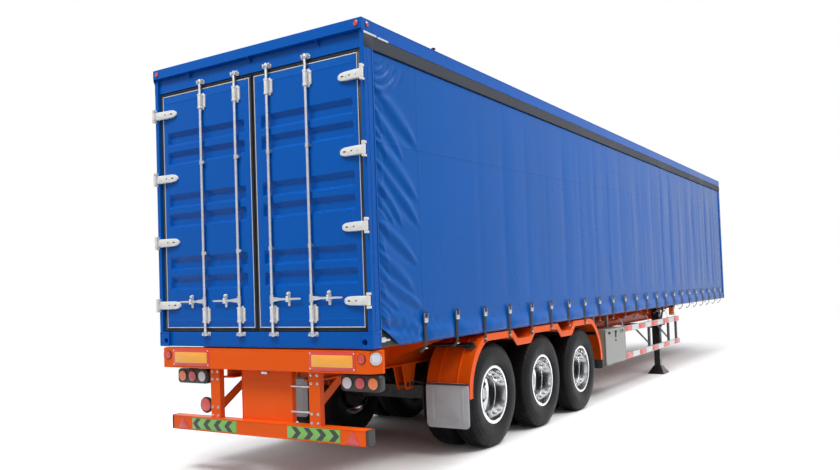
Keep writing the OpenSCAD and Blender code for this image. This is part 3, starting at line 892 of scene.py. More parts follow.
RED_FILM = Retro("film_red", (0.84, 0.13, 0.10), roughness=0.35, coat=0.5, shade=0.03)
SILVER_FILM = Retro("film_silver", (0.83, 0.84, 0.84), roughness=0.35, coat=0.3, shade=0.04)
GREEN_FILM = Retro("film_green", (0.42, 0.70, 0.25), roughness=0.35, coat=0.5, shade=0.03)
BLACK_FILM = Finish("film_black", (0.05, 0.06, 0.05), roughness=0.35, coat=0.3)
AXLE = Finish("axle_black_paint", (0.10, 0.10, 0.11), roughness=0.5, shade=0.25, dust=0.5, dust_reach=0.9,
              peel=0.0002, peel_scale=90.0)
HUB = Finish("hub_black_paint", (0.075, 0.075, 0.08), roughness=0.42, shade=0.2, peel=0.00015,
             peel_scale=120.0)
TYRE = Rubber("tyre_black_rubber", (0.105, 0.107, 0.113), roughness=0.45, shade=0.18, specular=0.10,
              patches=5.0, peel=0.00012,
              peel_scale=420.0, dust=0.06, dust_reach=0.75)
ALLOY = Finish("wheel_alloy_polished", (0.93, 0.932, 0.935), roughness=0.15, metallic=1.0, shade=0.05,
               patches=9.0,
               peel=0.000002, peel_scale=60.0)
FLAP = Rubber("flap_grey_rubber", (0.80, 0.81, 0.825), roughness=0.6, shade=0.10, patches=3.0, peel=0.00018,
              peel_scale=300.0, dust=0.22)
BLACK_FLAP = Rubber("flap_black_rubber", (0.10, 0.10, 0.105), roughness=0.6, shade=0.15, peel=0.0002,
                    dust=0.3)
BOX = Finish("box_grey_paint", (0.60, 0.605, 0.585), roughness=0.42, coat=0.0, shade=0.05, dust=0.14)
GUARD = Brushed("guard_alloy_mill", (0.79, 0.80, 0.80), roughness=0.36, metallic=0.7,
                lines=(2.0, 200.0, 200.0))
LEG = Finish("leg_black_paint", (0.075, 0.077, 0.083), roughness=0.33, coat=0.25, shade=0.2, dust=0.08,
             dust_reach=0.8, scuff=0.12, scuff_colour=(0.35, 0.35, 0.36))
PLATE = Finish("plate_steel_oiled", (0.36, 0.36, 0.37), roughness=0.4, metallic=0.8, shade=0.3, patches=6.0,
               scuff=0.35)
TRIM = Brushed("trim_alloy_white", (0.80, 0.81, 0.82), roughness=0.32, metallic=0.4,
               lines=(200.0, 200.0, 2.0))
# Near-black for the hinge blades' slots: painted shade where their hollows would fall dark.
SLOT_SHADE = Finish("recess_black", (0.02, 0.022, 0.03), roughness=0.8)
GUARD_POST = Finish("guard_post_paint", (0.36, 0.365, 0.37), roughness=0.45, metallic=0.3, shade=0.15,
                    dust=0.25)
RED_PAINT = Finish("coupling_red_paint", (0.72, 0.07, 0.06), roughness=0.4)
SKY_TOP, SKY_LOW = 0.78, 0.13
KEY_POWER, SIDE_POWER, REAR_POWER = 2150.0, 1250.0, 870.0


# ------------------------------------------------------------------ body


def framed(outer: tuple[float, float, float, float], inner: tuple[float, float, float, float],
           profile: Sequence[Pair], axis: Axis = Axis.X) -> Surface:
    """A mitred frame: a closed profile carried round a rectangle, from its outer to its inner edge.

    Args:
        outer: the outer rectangle as low a, low b, high a, high b across the axis.
        inner: the inner rectangle, in the same order.
        profile: pairs of the share of the way inwards and the level along the axis.
        axis: the axis the frame faces.

    Returns:
        The frame.
    """
    corners = [np.array([[r[0], r[1]], [r[2], r[1]], [r[2], r[3]], [r[0], r[3]]]) for r in (outer, inner)]
    share, level = np.asarray(profile, float).T
    flat = corners[0][None] + share[:, None, None] * (corners[1] - corners[0])[None]
    levels = np.broadcast_to(level[:, None, None], (len(level), 4, 1))
    return Surface.grid(carried(np.concatenate([flat, levels], -1), axis), wrap_rows=True, wrap_cols=True)


@dataclass
class Curtain:
    """One side curtain: a tarpaulin hung from its track and strapped down, with a wrinkled rear edge."""

    side: Side
    rear: float = REAR + 0.147
    front: float = FRONT - 0.084
    top: float = 3.594
    bottom: float = 1.180
    cut_height: float = 0.150
    cut_length: float = 0.243
    middle: float = 1.2345
    thickness: float = 0.0012

    def folds(self) -> Array:
        """The creases near the rear edge, each as start x and z, end x and z, width, height and bend."""
        rng = np.random.default_rng(11)
        long = np.array([
            [0.15, 3.31, 0.80, 2.87, 0.050, 0.0125, 0.015], [0.15, 3.11, 0.56, 2.72, 0.034, 0.0080, 0.02],
            [0.15, 2.86, 0.78, 2.40, 0.048, 0.0125, 0.015], [0.15, 2.70, 0.80, 2.17, 0.040, 0.0115, 0.02],
            [0.15, 2.55, 0.52, 2.16, 0.032, 0.0095, 0.02], [0.15, 2.40, 0.38, 2.18, 0.024, 0.0070, 0.015],
            [0.15, 2.20, 0.74, 1.84, 0.036, 0.0120, 0.02], [0.15, 1.94, 0.68, 1.61, 0.042, 0.0110, 0.015],
            [0.15, 1.77, 0.82, 1.45, 0.034, 0.0120, 0.01], [0.15, 1.62, 0.42, 1.47, 0.022, 0.0065, 0.01],
            [0.15, 1.43, 0.82, 1.27, 0.046, 0.0120, 0.025], [0.15, 1.33, 0.40, 1.20, 0.022, 0.0060, 0.00],
            [0.15, 3.345, 0.46, 3.56, 0.022, 0.0080, -0.04], [0.15, 3.42, 0.36, 3.57, 0.017, 0.0065, -0.03],
            [0.15, 3.27, 0.58, 3.55, 0.026, 0.0075, -0.06], [0.15, 3.49, 0.27, 3.58, 0.013, 0.0050, -0.015]])
        count = 34
        z = np.linspace(1.34, 3.20, count) + rng.uniform(-0.020, 0.020, count)
        reach = rng.uniform(0.07, 0.17, count)
        short = np.column_stack([np.full(count, 0.145), z, 0.145 + reach,
                                 z - reach * rng.uniform(0.6, 1.1, count),
                                 rng.uniform(0.017, 0.022, count), rng.uniform(0.0050, 0.0080, count),
                                 rng.uniform(0.004, 0.015, count)])
        folds = np.vstack([long, short])
        folds[:, [0, 2]] += REAR
        return folds

    def creased(self, x: Array, z: Array) -> Array:
        """How far the creases push the cloth out.

        Each crease is a ridge exp(-(d / w) squared) across its bent line, with a valley below. It is
        narrow where it leaves the rear edge, widest past its middle, and runs out to a point.

        Args:
            x: places along the trailer.
            z: heights.

        Returns:
            The push in metres at each place.
        """
        x0, z0, x1, z1, width, height, bend = (column[:, None, None] for column in self.folds().T)
        length = np.hypot(x1 - x0, z1 - z0)
        along = ((x - x0) * (x1 - x0) + (z - z0) * (z1 - z0)) / length**2
        inside = np.clip(along, 0, 1)
        across = ((x - x0) * (z1 - z0) - (z - z0) * (x1 - x0)) / length + bend * np.sin(math.pi * inside)
        wide = width * (0.40 + 0.85 * np.sin(math.pi * inside**0.8))
        ridge = np.exp(-((across / wide) ** 2)) - 0.8 * np.exp(-(((across - 1.7 * wide) / wide) ** 2))
        alive = smooth(-0.10, 0.10, along) * (1.0 - smooth(0.74, 1.02, along))
        return (height * ridge * alive).sum(axis=0)

    def from_strap(self, x: Array) -> Array:
        """The distance along the trailer to the nearest strap."""
        way = (x - FIRST_STRAP) / STRAP_PITCH
        nearest = np.clip(np.round(way), 0, STRAPS - 1)
        return np.abs(way - nearest) * STRAP_PITCH

    def band(self, x: Array, z: Array) -> Array:
        """The lower band: between straps it stands out below a ramp, and each strap pulls it in.

        The ramp is a smooth step over 90 mm of height; under it come the stitches, the piping and the hem,
        which tucks in.
        """
        bulge = smooth(0.028, 0.130, self.from_strap(x))
        ramp = 1.0 - smooth(1.245, 1.340, z)
        swell = ramp * (0.0030 + 0.0165 * bulge)
        hollow = -0.0035 * np.exp(-(((z - 1.372) / 0.028) ** 2)) * (0.4 + 0.6 * bulge)
        stitch = -0.0028 * np.exp(-(((z - 1.232) / 0.006) ** 2))
        pipe = 0.0030 * np.exp(-(((z - 1.214) / 0.008) ** 2))
        tuck = -0.0150 * (1.0 - smooth(1.178, 1.214, z)) * (0.3 + 0.7 * bulge)
        low = 1.0 - smooth(1.36, 1.50, z)
        dents = 0.0022 * low * np.sin(33.0 * x + 7.0 * np.sin(3.1 * x)) * np.sin(38.0 * z + 6.0 * x)
        return swell + hollow + stitch + pipe + tuck + dents * bulge

    def waves(self, x: Array, z: Array) -> Array:
        """Upright waves, one to each strap and slower ones between, that grow towards the front."""
        way = (x - FIRST_STRAP) / STRAP_PITCH
        grow = smooth(-5.9, -4.2, x) * (0.40 + 0.60 * smooth(-3.5, 4.0, x))
        fade = smooth(1.35, 1.70, z) * (1.0 - 0.65 * smooth(2.9, 3.55, z))
        drift = 0.55 * np.sin(0.9 * x + 1.3) + 0.1 * np.sin(4.2 * z + 2.0 * x)
        tied = -0.0060 * np.exp(-((np.sin(math.pi * (way + 0.05 * drift)) / 0.26) ** 2))
        slow = 0.0036 * np.sin(7.3 * x + 2.0 * drift) + 0.0020 * np.sin(15.0 * x + 5.0 * drift + 0.7 * z)
        sharp = 0.0034 * np.sin(5.6 * x + 1.5 * drift) ** 6
        return (tied + slow + sharp) * grow * fade

    def columns(self) -> Array:
        """Where the grid's columns are: close together near the rear edge and at each strap."""
        rear = ladder((self.rear, 0.0135), (REAR + 0.86, 0.032), (FIRST_STRAP + STRAP_PITCH / 2, 1.0))
        offsets = np.array([-0.215, -0.140, -0.090, -0.045, -0.015, 0.015, 0.045, 0.090, 0.140, 0.215,
                            0.2805])
        places = FIRST_STRAP + STRAP_PITCH * np.arange(1, STRAPS)
        front = (places[:, None] + offsets).ravel()
        return np.concatenate([rear, front[front < self.front - 0.02], [self.front - 0.008, self.front]])

    def build(self) -> Thing:
        """The cloth over a grid that is finest near the rear edge and in the lower band."""
        x = self.columns()
        z = ladder((self.bottom, 0.0098), (1.345, 0.0165), (self.top, 1.0))
        rise = (z - self.bottom) / (self.top - self.bottom)
        lowest = self.bottom + self.cut_height * np.clip((self.rear + self.cut_length - x) / self.cut_length,
                                                         0, 1)
        height = lowest[:, None] + (self.top - lowest)[:, None] * rise[None, :]
        along = np.broadcast_to(x[:, None], height.shape)
        push = self.creased(along, height) + self.band(along, height) + self.waves(along, height)
        held = smooth(0.0, 0.04, self.top - height) * smooth(0.0, 0.02, self.front - along)
        furthest = 0.0155 + 0.0070 * smooth(REAR + 1.1, REAR + 1.4, along)
        out = self.middle + np.clip(push * held, -0.0175, furthest)
        surface = Surface.grid(np.stack([along, out, height], -1)).on(self.side)
        cloth = fixed(f"curtain_{self.side.word}_cloth", Slot.CURTAIN, f"curtain_{self.side.word}").of(
            surface, CURTAIN_BLUE, crease=180.0, closed=False)
        skin = cloth.modifiers.new("thickness", "SOLIDIFY")
        skin.thickness, skin.offset = self.thickness, 0.0
        return cloth


@dataclass
class Straps:
    """The webbing straps of both curtains, with their over-centre buckles."""

    face: float = 1.251
    over_fenders: Pair = (-5.16, -1.56)

    def places(self) -> Array:
        """Where the straps are along the trailer."""
        return FIRST_STRAP + STRAP_PITCH * np.arange(STRAPS)

    def webbing(self, path: Sequence[Pair], x: Array) -> Surface:
        """A flat band 45 mm wide carried along a path of y and z, once at each x."""
        line = np.array([[0.0, y, z] for y, z in path])
        band = swept(outline(0.0032, 0.045, 0.0012, 1), line, up=(1.0, 0.0, 0.0))
        return band.copies([(float(at), 0.0, 0.0) for at in x])

    def build(self) -> None:
        """All the webbing in one piece, and all the buckles in another."""
        x = self.places()
        above = (x > self.over_fenders[0]) & (x < self.over_fenders[1])
        top = [(self.face, 1.430), (self.face, 1.36), (self.face, 1.25)]
        hooked = top + [(self.face, 1.153), (1.2475, 1.143), (1.232, 1.122), (1.206, 1.089), (1.199, 1.0868),
                        (1.1935, 1.092), (1.1925, 1.112)]
        straight = top + [(self.face, 1.12), (self.face, 1.088)]
        loop = [(1.2615, 1.385), (1.2645, 1.402), (1.2650, 1.425), (1.2620, 1.440), (1.2570, 1.444),
                (1.2535, 1.436)]
        bands = self.webbing(hooked, x[~above]) + self.webbing(straight, x[above]) + self.webbing(loop, x)
        fixed("strap_webbing", Slot.WEBBING, "curtain_straps").of(bands.both(), WEBBING)
        plate = slab((-0.027, 1.2530, 1.347), (0.027, 1.2550, 1.425), 0.0008, axis=Axis.Y, steps=1)
        cheek = slab((-0.0300, 1.2530, 1.350), (-0.0265, 1.2665, 1.428), 0.001, 0.004, Axis.X, 1)
        cheeks = cheek + cheek.copies([(0.0565, 0.0, 0.0)])
        lever = slab((-0.0255, 1.2625, 1.346), (0.0255, 1.2660, 1.384), 0.001, 0.004, Axis.Y, 1)
        rollers = [round_bar((-0.026, 1.260, z), (0.026, 1.260, z), 0.0042, 8, 0.001)
                   for z in (1.390, 1.352)]
        hook = slab((-0.021, 1.2525, 1.118), (0.021, 1.2560, 1.128), 0.001, axis=Axis.Y, steps=1)
        buckle = joined([plate, cheeks, lever, *rollers, hook])
        buckles = buckle.copies([(float(at), 0.0, 0.0) for at in x]).both()
        fixed("strap_buckles", Slot.STEEL, "curtain_buckles").of(buckles, STEEL)


@dataclass
class RoofEdges:
    """Roof rails, curtain tracks, the sheet over the bows, and the small fittings along the edges."""

    rail_low: float = 3.706
    roof: float = 3.830
    track_low: float = 3.597

    def mouldings(self) -> Surface:
        """Drip lips at the roof rail's upper and lower edge, as swept rounded sections."""
        section = outline(0.006, 0.010, 0.0028, 1)
        lines = [(1.2495, self.roof - 0.008), (1.2490, self.rail_low + 0.005)]
        return joined([swept(section, np.array([[x, y, z] for x in (ROOF_ENDS[0], 0.0, ROOF_ENDS[1])]))
                       for y, z in lines])

    def sheet(self) -> Thing:
        """The roof cloth: it sags a little between two bows as a squared sine."""
        width, length = 2.335, 13.40
        pitch = length / ROOF_BAYS
        x = ladder((ROOF_ENDS[0], 0.09), (ROOF_ENDS[1], 1.0))
        y = ladder((-1.166, 0.09), (1.166, 1.0))
        along, across = np.meshgrid(x, y, indexing="ij")
        sag = -0.006 * np.sin(math.pi * (along - REAR - 0.12) / pitch) ** 2 * np.cos(across * math.pi / 2.36)
        ripple = 0.0007 * np.sin(23.0 * along + 3.0 * np.sin(4.0 * across)) * np.sin(9.0 * across)
        cloth = fixed("roof_cloth", Slot.ROOF, "roof_sheet").of(
            Surface.grid(np.stack([along, across, 3.8225 + sag + ripple], -1)), ROOF_CLOTH, crease=180.0,
            closed=False)
        skin = cloth.modifiers.new("thickness", "SOLIDIFY")
        skin.thickness, skin.offset = 0.0012, 0.0
        return cloth

    def build(self) -> None:
        """Dresses the rails and tracks, then adds what is on them."""
        softened("roof_rails", 0.006, Slot.BODY, BODY_BLUE, 3)
        softened("curtain_tracks", 0.004, Slot.TRACK, TRACK)
        softened("roof_bows", 0.003, Slot.BOW, BOW)
        softened("side_pillars", 0.004, Slot.BOW, BOW)
        fixed("roof_mouldings", Slot.BODY).of(self.mouldings().both(), BODY_BLUE)
        self.sheet()
        cover = slab((REAR + 0.002, 1.2495, self.track_low + 0.001),
                     (REAR + 0.126, 1.2535, self.rail_low - 0.002), 0.0012, axis=Axis.Y)
        fixed("track_rear_covers", Slot.TRACK).of(cover.both(), TRACK)
        strips = slab((REAR + 0.003, 1.2505, 3.704), (REAR + 0.180, 1.2560, 3.722), 0.0015, 0.003, Axis.Y)
        strips = strips + slab((REAR + 0.198, 1.2495, 3.702), (REAR + 0.350, 1.2550, 3.718), 0.0015, 0.003,
                               Axis.Y)
        fixed("track_end_strips", Slot.STEEL).of(strips.both(), TRIM)
        cap = slab((FRONT - 0.0800, 1.178, self.track_low - 0.004), (FRONT - 0.0005, 1.2530, self.rail_low),
                   0.003, 0.01, Axis.X)
        fixed("track_front_caps", Slot.TRACK).of(cap.both(), TRACK)
        knob = turned([(0, 0), (0, 0.016), (0.012, 0.018), (0.020, 0.012), (0.024, 0.020), (0.032, 0.021),
                       (0.038, 0.013), (0.039, 0)], 20, Axis.Z, (REAR + 1.15, 1.215, self.roof - 0.002))
        fixed("roof_edge_knobs", Slot.HOUSING).of(knob.both(), HOUSING)


@dataclass
class RearFrame:
    """The rear portal: posts, castings, sill and eave, and the fittings on them."""

    eave: float = 3.742
    marker_x: float = REAR + 0.055
    marker_z: float = 3.786
    gussets: tuple[float, ...] = (-0.775, 0.0, 0.775)

    def gusset(self, y: float, deep: float = 0.042, tall: float = 0.060) -> Surface:
        """A three-cornered plate under the eave, carried 6 mm along Y."""
        ring = np.array([[DOOR_FACE + 0.001, self.eave + 0.001], [DOOR_FACE - deep, self.eave + 0.001],
                         [DOOR_FACE - deep, self.eave - 0.012], [DOOR_FACE + 0.001, self.eave - tall]])
        faces = [np.column_stack([ring[:, 0], np.full(4, at), ring[:, 1]]) for at in (y - 0.003, y + 0.003)]
        return lofted(np.stack(faces))

    def post_folds(self) -> Surface:
        """A standing seam on each post's outer side and a lip at its front edge."""
        seam = slab((REAR + 0.046, 1.2485, 1.322), (REAR + 0.054, 1.2525, 3.735), 0.0015, axis=Axis.Y)
        lip = slab((REAR + 0.108, 1.2485, 1.322), (REAR + 0.1205, 1.2545, 3.600), 0.0015, axis=Axis.Y)
        return seam + lip

    def castings(self) -> Surface:
        """A raised face round the tie hole of each corner casting, on its rear and its outer side."""
        plate = framed((1.128, 1.184, 1.2515, 1.314), (1.140, 1.196, 1.240, 1.302),
                       [(0, REAR + 0.004), (0, REAR - 0.0015), (0.15, REAR - 0.003), (0.85, REAR - 0.003),
                        (1, REAR - 0.001), (1, REAR + 0.004)])
        side = framed((1.184, REAR - 0.001, 1.314, REAR + 0.119), (1.196, REAR + 0.011, 1.302, REAR + 0.107),
                      [(0, 1.246), (0, 1.2515), (0.2, 1.253), (0.8, 1.253), (1, 1.251), (1, 1.246)], Axis.Y)
        return plate + side

    def build(self) -> None:
        """Dresses the portal and places its small parts."""
        softened("rear_frame", 0.004, Slot.BODY, BODY_BLUE, 3)
        softened("frame_fittings", 0.0015, Slot.STEEL, HINGE)
        plates = [self.gusset(y) for y in self.gussets] + [self.gusset(s * 1.2455, 0.042, 0.105)
                                                           for s in (-1, 1)]
        fixed("eave_gussets", Slot.BODY).of(joined(plates), BODY_BLUE, crease=20.0)
        trims = self.post_folds().both() + self.castings().both()
        fixed("post_trims", Slot.BODY).of(trims, BODY_BLUE)
        bolt = hexagon_bolt(0.006, 0.005)
        rods = [(DOOR_FACE, y + dy, z) for y in (-0.635, -0.195, 0.195, 0.635) for dy in (-0.036, 0.036)
                for z in (1.296, 3.624)]
        seats = [slab((DOOR_FACE - 0.004, y - 0.046, z), (DOOR_FACE + 0.001, y + 0.046, z + 0.036), 0.001,
                      0.008, Axis.X)
                 for y in (-0.635, -0.195, 0.195, 0.635) for z in (1.278, 3.606)]
        keepers = joined(seats) + bolt.copies([(x - 0.004, y, z) for x, y, z in rods], TO_REAR)
        fixed("cam_keeper_plates", Slot.STEEL).of(keepers, HINGE)
        tube = round_bar((REAR + 0.1335, 1.233, 1.325), (REAR + 0.1335, 1.233, 3.585), 0.0110, 14)
        fixed("curtain_poles", Slot.SEAL).of(tube.both(), SEAL)
        corner = slab((REAR + 0.1215, 1.2158, 1.1815), (REAR + 0.420, 1.2178, 1.350), 0.0008, axis=Axis.Y)
        fixed("corner_backing", Slot.SEAL).of(corner.both(), SEAL)
        ratchet = joined([
            slab((REAR + 0.125, 1.205, 1.222), (REAR + 0.190, 1.246, 1.262), 0.003, 0.008, Axis.Y),
            round_bar((REAR + 0.135, 1.236, 1.243), (REAR + 0.250, 1.236, 1.236), 0.011, 14),
            round_bar((REAR + 0.1335, 1.233, 1.250), (REAR + 0.1335, 1.233, 1.330), 0.008, 12)])
        fixed("curtain_ratchets", Slot.STEEL).of(ratchet.both(), STEEL)
        markers = turned([(0, 0.026), (-0.004, 0.026), (-0.006, 0.022), (-0.004, 0.020), (-0.004, 0)], 24,
                         Axis.Y)
        x, z = self.marker_x, self.marker_z
        bezels = markers.copies([(x, -1.2495, z)]) + markers.mirrored().copies([(x, 1.2495, z)])
        fixed("top_marker_bezels", Slot.HOUSING).of(bezels, HOUSING)
        dome = turned([(0, 0), (-0.010, 0), (-0.009, 0.010), (-0.006, 0.018), (-0.003, 0.0205), (0, 0.0205)],
                      24, Axis.Y)
        side_domes = dome.copies([(x, -1.2497, z)]) + dome.mirrored().copies([(x, 1.2497, z)])
        fixed("top_side_markers", Slot.RED).of(side_domes, RED)


@dataclass
class RearDoor:
    """One rear door: a panel with pressed grooves, an edge trim, a seal, lock rods and hinges."""

    side: Side
    y0: float = 0.030
    y1: float = 1.165
    z0: float = 1.352
    z1: float = 3.566
    thickness: float = 0.050
    groove_depth: float = 0.030
    groove_section: tuple[Pair, ...] = ((-0.066, 0.0), (-0.058, 0.5), (-0.050, 0.56), (-0.042, 1.0),
                                        (0.017, 1.0), (0.064, 0.0))
    groove_ends: Pair = (0.098, 1.110)
    groove_middles: tuple[float, ...] = tuple(2.458 + 0.594 * k + 0.093 * d for k in (-1, 0, 1)
                                              for d in (-1, 1))
    rods: Pair = (0.195, 0.635)
    rod_x: float = DOOR_FACE - 0.020
    hinges: tuple[float, ...] = (1.565, 2.160, 2.770, 3.385)
    pin: Pair = (REAR - 0.032, 1.240)

    @property
    def body(self) -> str:
        """The CAD body that everything on this door rides on."""
        return f"door_{self.side.word}"

    def piece(self, name: str, slot: Slot, *stands_for: str) -> Piece:
        """A piece of this door, named for its side."""
        return Piece(f"{name}_{self.side.word}", self.body, slot, stands_for)

    def panel(self) -> Surface:
        """The pressed sheet, wrapped round the door's core.

        A groove's depth follows its section, a long slope above and a stepped one below, times a smooth wall
        at its two ends, and a thin bead runs across near the top and the bottom. The edges roll back as a
        quarter circle.
        """
        corners, depths = np.array(self.groove_section).T
        centres = np.array(self.groove_middles)
        steps = (corners[:, None] + np.array([-0.0014, 0.0, 0.0014])).ravel()
        beads = np.array([1.418, 3.498])
        roll = np.array([0.0, 0.0006, 0.002, 0.004])
        z = np.unique(np.concatenate([
            (centres[:, None] + steps).ravel(), (beads[:, None] + np.linspace(-0.006, 0.006, 7)).ravel(),
            self.z0 + roll, self.z1 - roll, np.linspace(self.z0, self.z1, 24)]))
        ends = np.array([self.groove_ends[0] + 0.009, self.groove_ends[1] - 0.009])
        y = np.unique(np.concatenate([(ends[:, None] + np.linspace(-0.012, 0.012, 9)).ravel(),
                                      self.y0 + roll, self.y1 - roll, np.linspace(self.y0, self.y1, 14)]))
        across, up = np.meshgrid(y, z, indexing="ij")
        wall = np.interp(up[..., None] - centres, corners, depths).sum(axis=-1)
        within = smooth(ends[0] - 0.009, ends[0] + 0.009, across)
        within = within * (1 - smooth(ends[1] - 0.009, ends[1] + 0.009, across))
        bead = np.exp(-((np.abs(up[..., None] - beads).min(axis=-1) / 0.0030) ** 2))
        bead = bead * smooth(0.07, 0.08, across) * (1.0 - smooth(1.12, 1.13, across))
        edge = np.minimum(np.minimum(across - self.y0, self.y1 - across),
                          np.minimum(up - self.z0, self.z1 - up))
        rolled = 0.004 - np.sqrt(np.maximum(0.004**2 - np.maximum(0.004 - edge, 0.0) ** 2, 0.0))
        front = DOOR_FACE + self.groove_depth * wall * within - 0.0022 * bead + rolled
        face = Surface.grid(np.stack([front, across, up], -1))
        back_x = np.full_like(front, DOOR_FACE + self.thickness)
        back = Surface.grid(np.stack([back_x, across, up], -1)[:, ::-1])
        loop = [(slice(None), 0), (-1, slice(None)), (slice(None, None, -1), -1), (0, slice(None, None, -1))]
        rim = [np.concatenate([np.stack([level, across, up], -1)[part] for part in loop])
               for level in (front, back_x)]
        return (face + back + Surface.grid(np.stack(rim), wrap_cols=True)).on(self.side)

    def trim(self) -> Surface:
        """The pale edge strip round the panel."""
        profile = [(0.0, 0.001), (0.0, -0.0025), (0.3, -0.0035), (0.8, -0.0030), (1.0, -0.0015),
                   (1.0, 0.001)]
        inset = 0.0060
        return framed((self.y0 - 0.001, self.z0 - 0.001, self.y1 + 0.001, self.z1 + 0.001),
                      (self.y0 + inset, self.z0 + inset, self.y1 - inset, self.z1 - inset),
                      [(share, DOOR_FACE + level) for share, level in profile]).on(self.side)

    def seal(self) -> Surface:
        """The rubber round the panel: a flat back and a face with three lips."""
        lips = [(0.0, 0.054), (0.0, 0.011), (0.07, 0.0045), (0.20, 0.008), (0.32, 0.0030), (0.46, 0.0085),
                (0.60, 0.0025), (0.76, 0.008), (0.90, 0.0040), (1.0, 0.008), (1.0, 0.054)]
        return framed((0.005, 1.321, 1.203, 3.597),
                      (self.y0 - 0.0005, self.z0 - 0.0005, self.y1 + 0.0005, self.z1 + 0.0005),
                      [(share, DOOR_FACE + level) for share, level in lips]).on(self.side)

    def guide(self, y: float, z: float) -> Surface:
        """A rod guide: a rounded sleeve with two bands on a base plate, and a second plate beside it."""
        beside = -0.047 * self.side.value
        sleeve = slab((self.rod_x - 0.019, y - 0.0205, z - 0.066), (DOOR_FACE, y + 0.0205, z + 0.066), 0.003,
                      0.017)
        bands = [slab((self.rod_x - 0.021, y - 0.0235, z + d - 0.010),
                      (DOOR_FACE, y + 0.0235, z + d + 0.010), 0.002, 0.018)
                 for d in (-0.058, 0.058)]
        base = slab((DOOR_FACE - 0.005, y - 0.034, z - 0.078), (DOOR_FACE + 0.001, y + 0.034, z + 0.078),
                    0.0015, 0.01, Axis.X)
        plate = slab((DOOR_FACE - 0.016, y + beside - 0.011, z - 0.060),
                     (DOOR_FACE, y + beside + 0.011, z + 0.060),
                     0.003, 0.008, Axis.X)
        bolts = hexagon_bolt(0.006, 0.005).copies(
            [(DOOR_FACE - 0.016, y + beside, z + d) for d in (-0.042, 0.042)], TO_REAR)
        return joined([sleeve, *bands, base, plate, bolts])

    def rod(self, y: float) -> Surface:
        """A lock rod with its cams, collars, hub and the tapered handle."""
        x = self.rod_x
        bar = round_bar((x, y, 1.2755), (x, y, 3.6495), 0.0138, 20)
        cams = [slab((x - 0.0150, y - 0.0185, z), (x + 0.0145, y + 0.0185, z + 0.024), 0.004, 0.007)
                for z in (1.281, 3.613)]
        noses = [slab((x - 0.0215, y - 0.010, z), (x - 0.006, y + 0.010, z + 0.018), 0.004, 0.006)
                 for z in (1.284, 3.616)]
        ears = [round_bar((x, y - 0.045, z), (x, y + 0.045, z), 0.0075, 12) for z in (3.640, 1.2885)]
        collars = [turned([(-0.018, 0.012), (-0.018, 0.019), (0.018, 0.019), (0.018, 0.012)], 20, Axis.Z,
                          (x, y, z))
                   + slab((x - 0.010, y - 0.005 - 0.033 * self.side.value, z - 0.013),
                          (DOOR_FACE, y + 0.005 - 0.022 * self.side.value, z + 0.013), 0.002, 0.005)
                   for z in (2.035, 2.875)]
        hub = turned([(-0.037, 0.012), (-0.035, 0.0205), (0.035, 0.0205), (0.037, 0.012)], 20, Axis.Z,
                     (x, y, 1.595))
        way = np.array([0.006, 0.035, 0.075, 0.100, 0.160, 0.230, 0.300, 0.322, 0.330])
        tall = np.array([0.040, 0.038, 0.030, 0.021, 0.019, 0.018, 0.017, 0.015, 0.006])
        thick = np.array([0.014, 0.014, 0.012, 0.010, 0.010, 0.009, 0.009, 0.008, 0.004])
        stations = np.stack([
            np.column_stack([x - 0.007 + o[:, 0], np.full(len(o), y + w), 1.595 + o[:, 1]])
            for w, o in ((w, outline(k, t, 0.35 * min(k, t), 2)) for w, t, k in zip(way, tall, thick))])
        handle = lofted(stations)
        return joined([bar, *cams, *noses, *ears, *collars, hub, handle])

    def retainer(self, y: float) -> Surface:
        """The handle's catch on the door: a round-ended upright plate, a cross arm and a turned knob."""
        upright = slab((DOOR_FACE - 0.008, y + 0.166, 1.533), (DOOR_FACE, y + 0.194, 1.657), 0.002, 0.0135,
                       Axis.X)
        arm = slab((DOOR_FACE - 0.030, y + 0.158, 1.570), (DOOR_FACE, y + 0.202, 1.5825), 0.002, 0.004,
                   Axis.X)
        clasp = slab((DOOR_FACE - 0.036, y + 0.168, 1.571), (DOOR_FACE - 0.030, y + 0.192, 1.622), 0.002,
                     0.006, Axis.X)
        knob = turned([(-0.030, 0), (-0.030, 0.009), (-0.022, 0.014), (-0.010, 0.012), (0.0, 0.012)], 16,
                      Axis.X,
                      (DOOR_FACE, y + 0.180, 1.640))
        return joined([upright, arm, clasp, knob])

    def blade(self, z: float) -> tuple[Surface, Surface]:
        """A forged hinge blade tapering to a round tip, with its knuckle; and two slots in its face,
        near-black blocks of painted shade.
        """
        y = np.array([1.2300, 1.2150, 1.1700, 1.1000, 1.0450, 1.0100, 0.9880, 0.9740, 0.9680])
        half = np.array([0.0390, 0.0390, 0.0385, 0.0380, 0.0370, 0.0330, 0.0250, 0.0150, 0.0040])
        face = np.array([0.0400, 0.0400, 0.0390, 0.0330, 0.0280, 0.0240, 0.0200, 0.0150, 0.0080])
        stations = np.stack([
            np.column_stack([DOOR_FACE - f / 2 + o[:, 0], np.full(len(o), at), z + o[:, 1]])
            for at, f, o in ((a, f, outline(f, 2 * h, 0.30 * min(f, h), 3))
                             for a, h, f in zip(y, half, face))])
        blade = lofted(stations)
        px, py = self.pin
        knuckle = turned([(-0.0395, 0.0090), (-0.0395, 0.0140), (0.0395, 0.0140), (0.0395, 0.0090)], 24,
                         Axis.Z, (px, py, z))
        web = slab((px, py - 0.0110, z - 0.0385), (px + 0.0240, py + 0.0090, z + 0.0385), 0.003, 0.004)
        seats = [(DOOR_FACE - 0.0295, 1.066, z), (DOOR_FACE - 0.0385, 1.170, z)]
        heads = hexagon_bolt(0.0075, 0.006).copies(seats, TO_REAR)
        slots = joined(
            [slab((DOOR_FACE - d - 0.0014, a, z - 0.006), (DOOR_FACE - d + 0.004, a + 0.038, z + 0.006),
                             0.001, 0.005, Axis.X) for d, a in ((0.0326, 1.096), (0.0262, 1.016))])
        return joined([blade, knuckle, web, heads]), slots

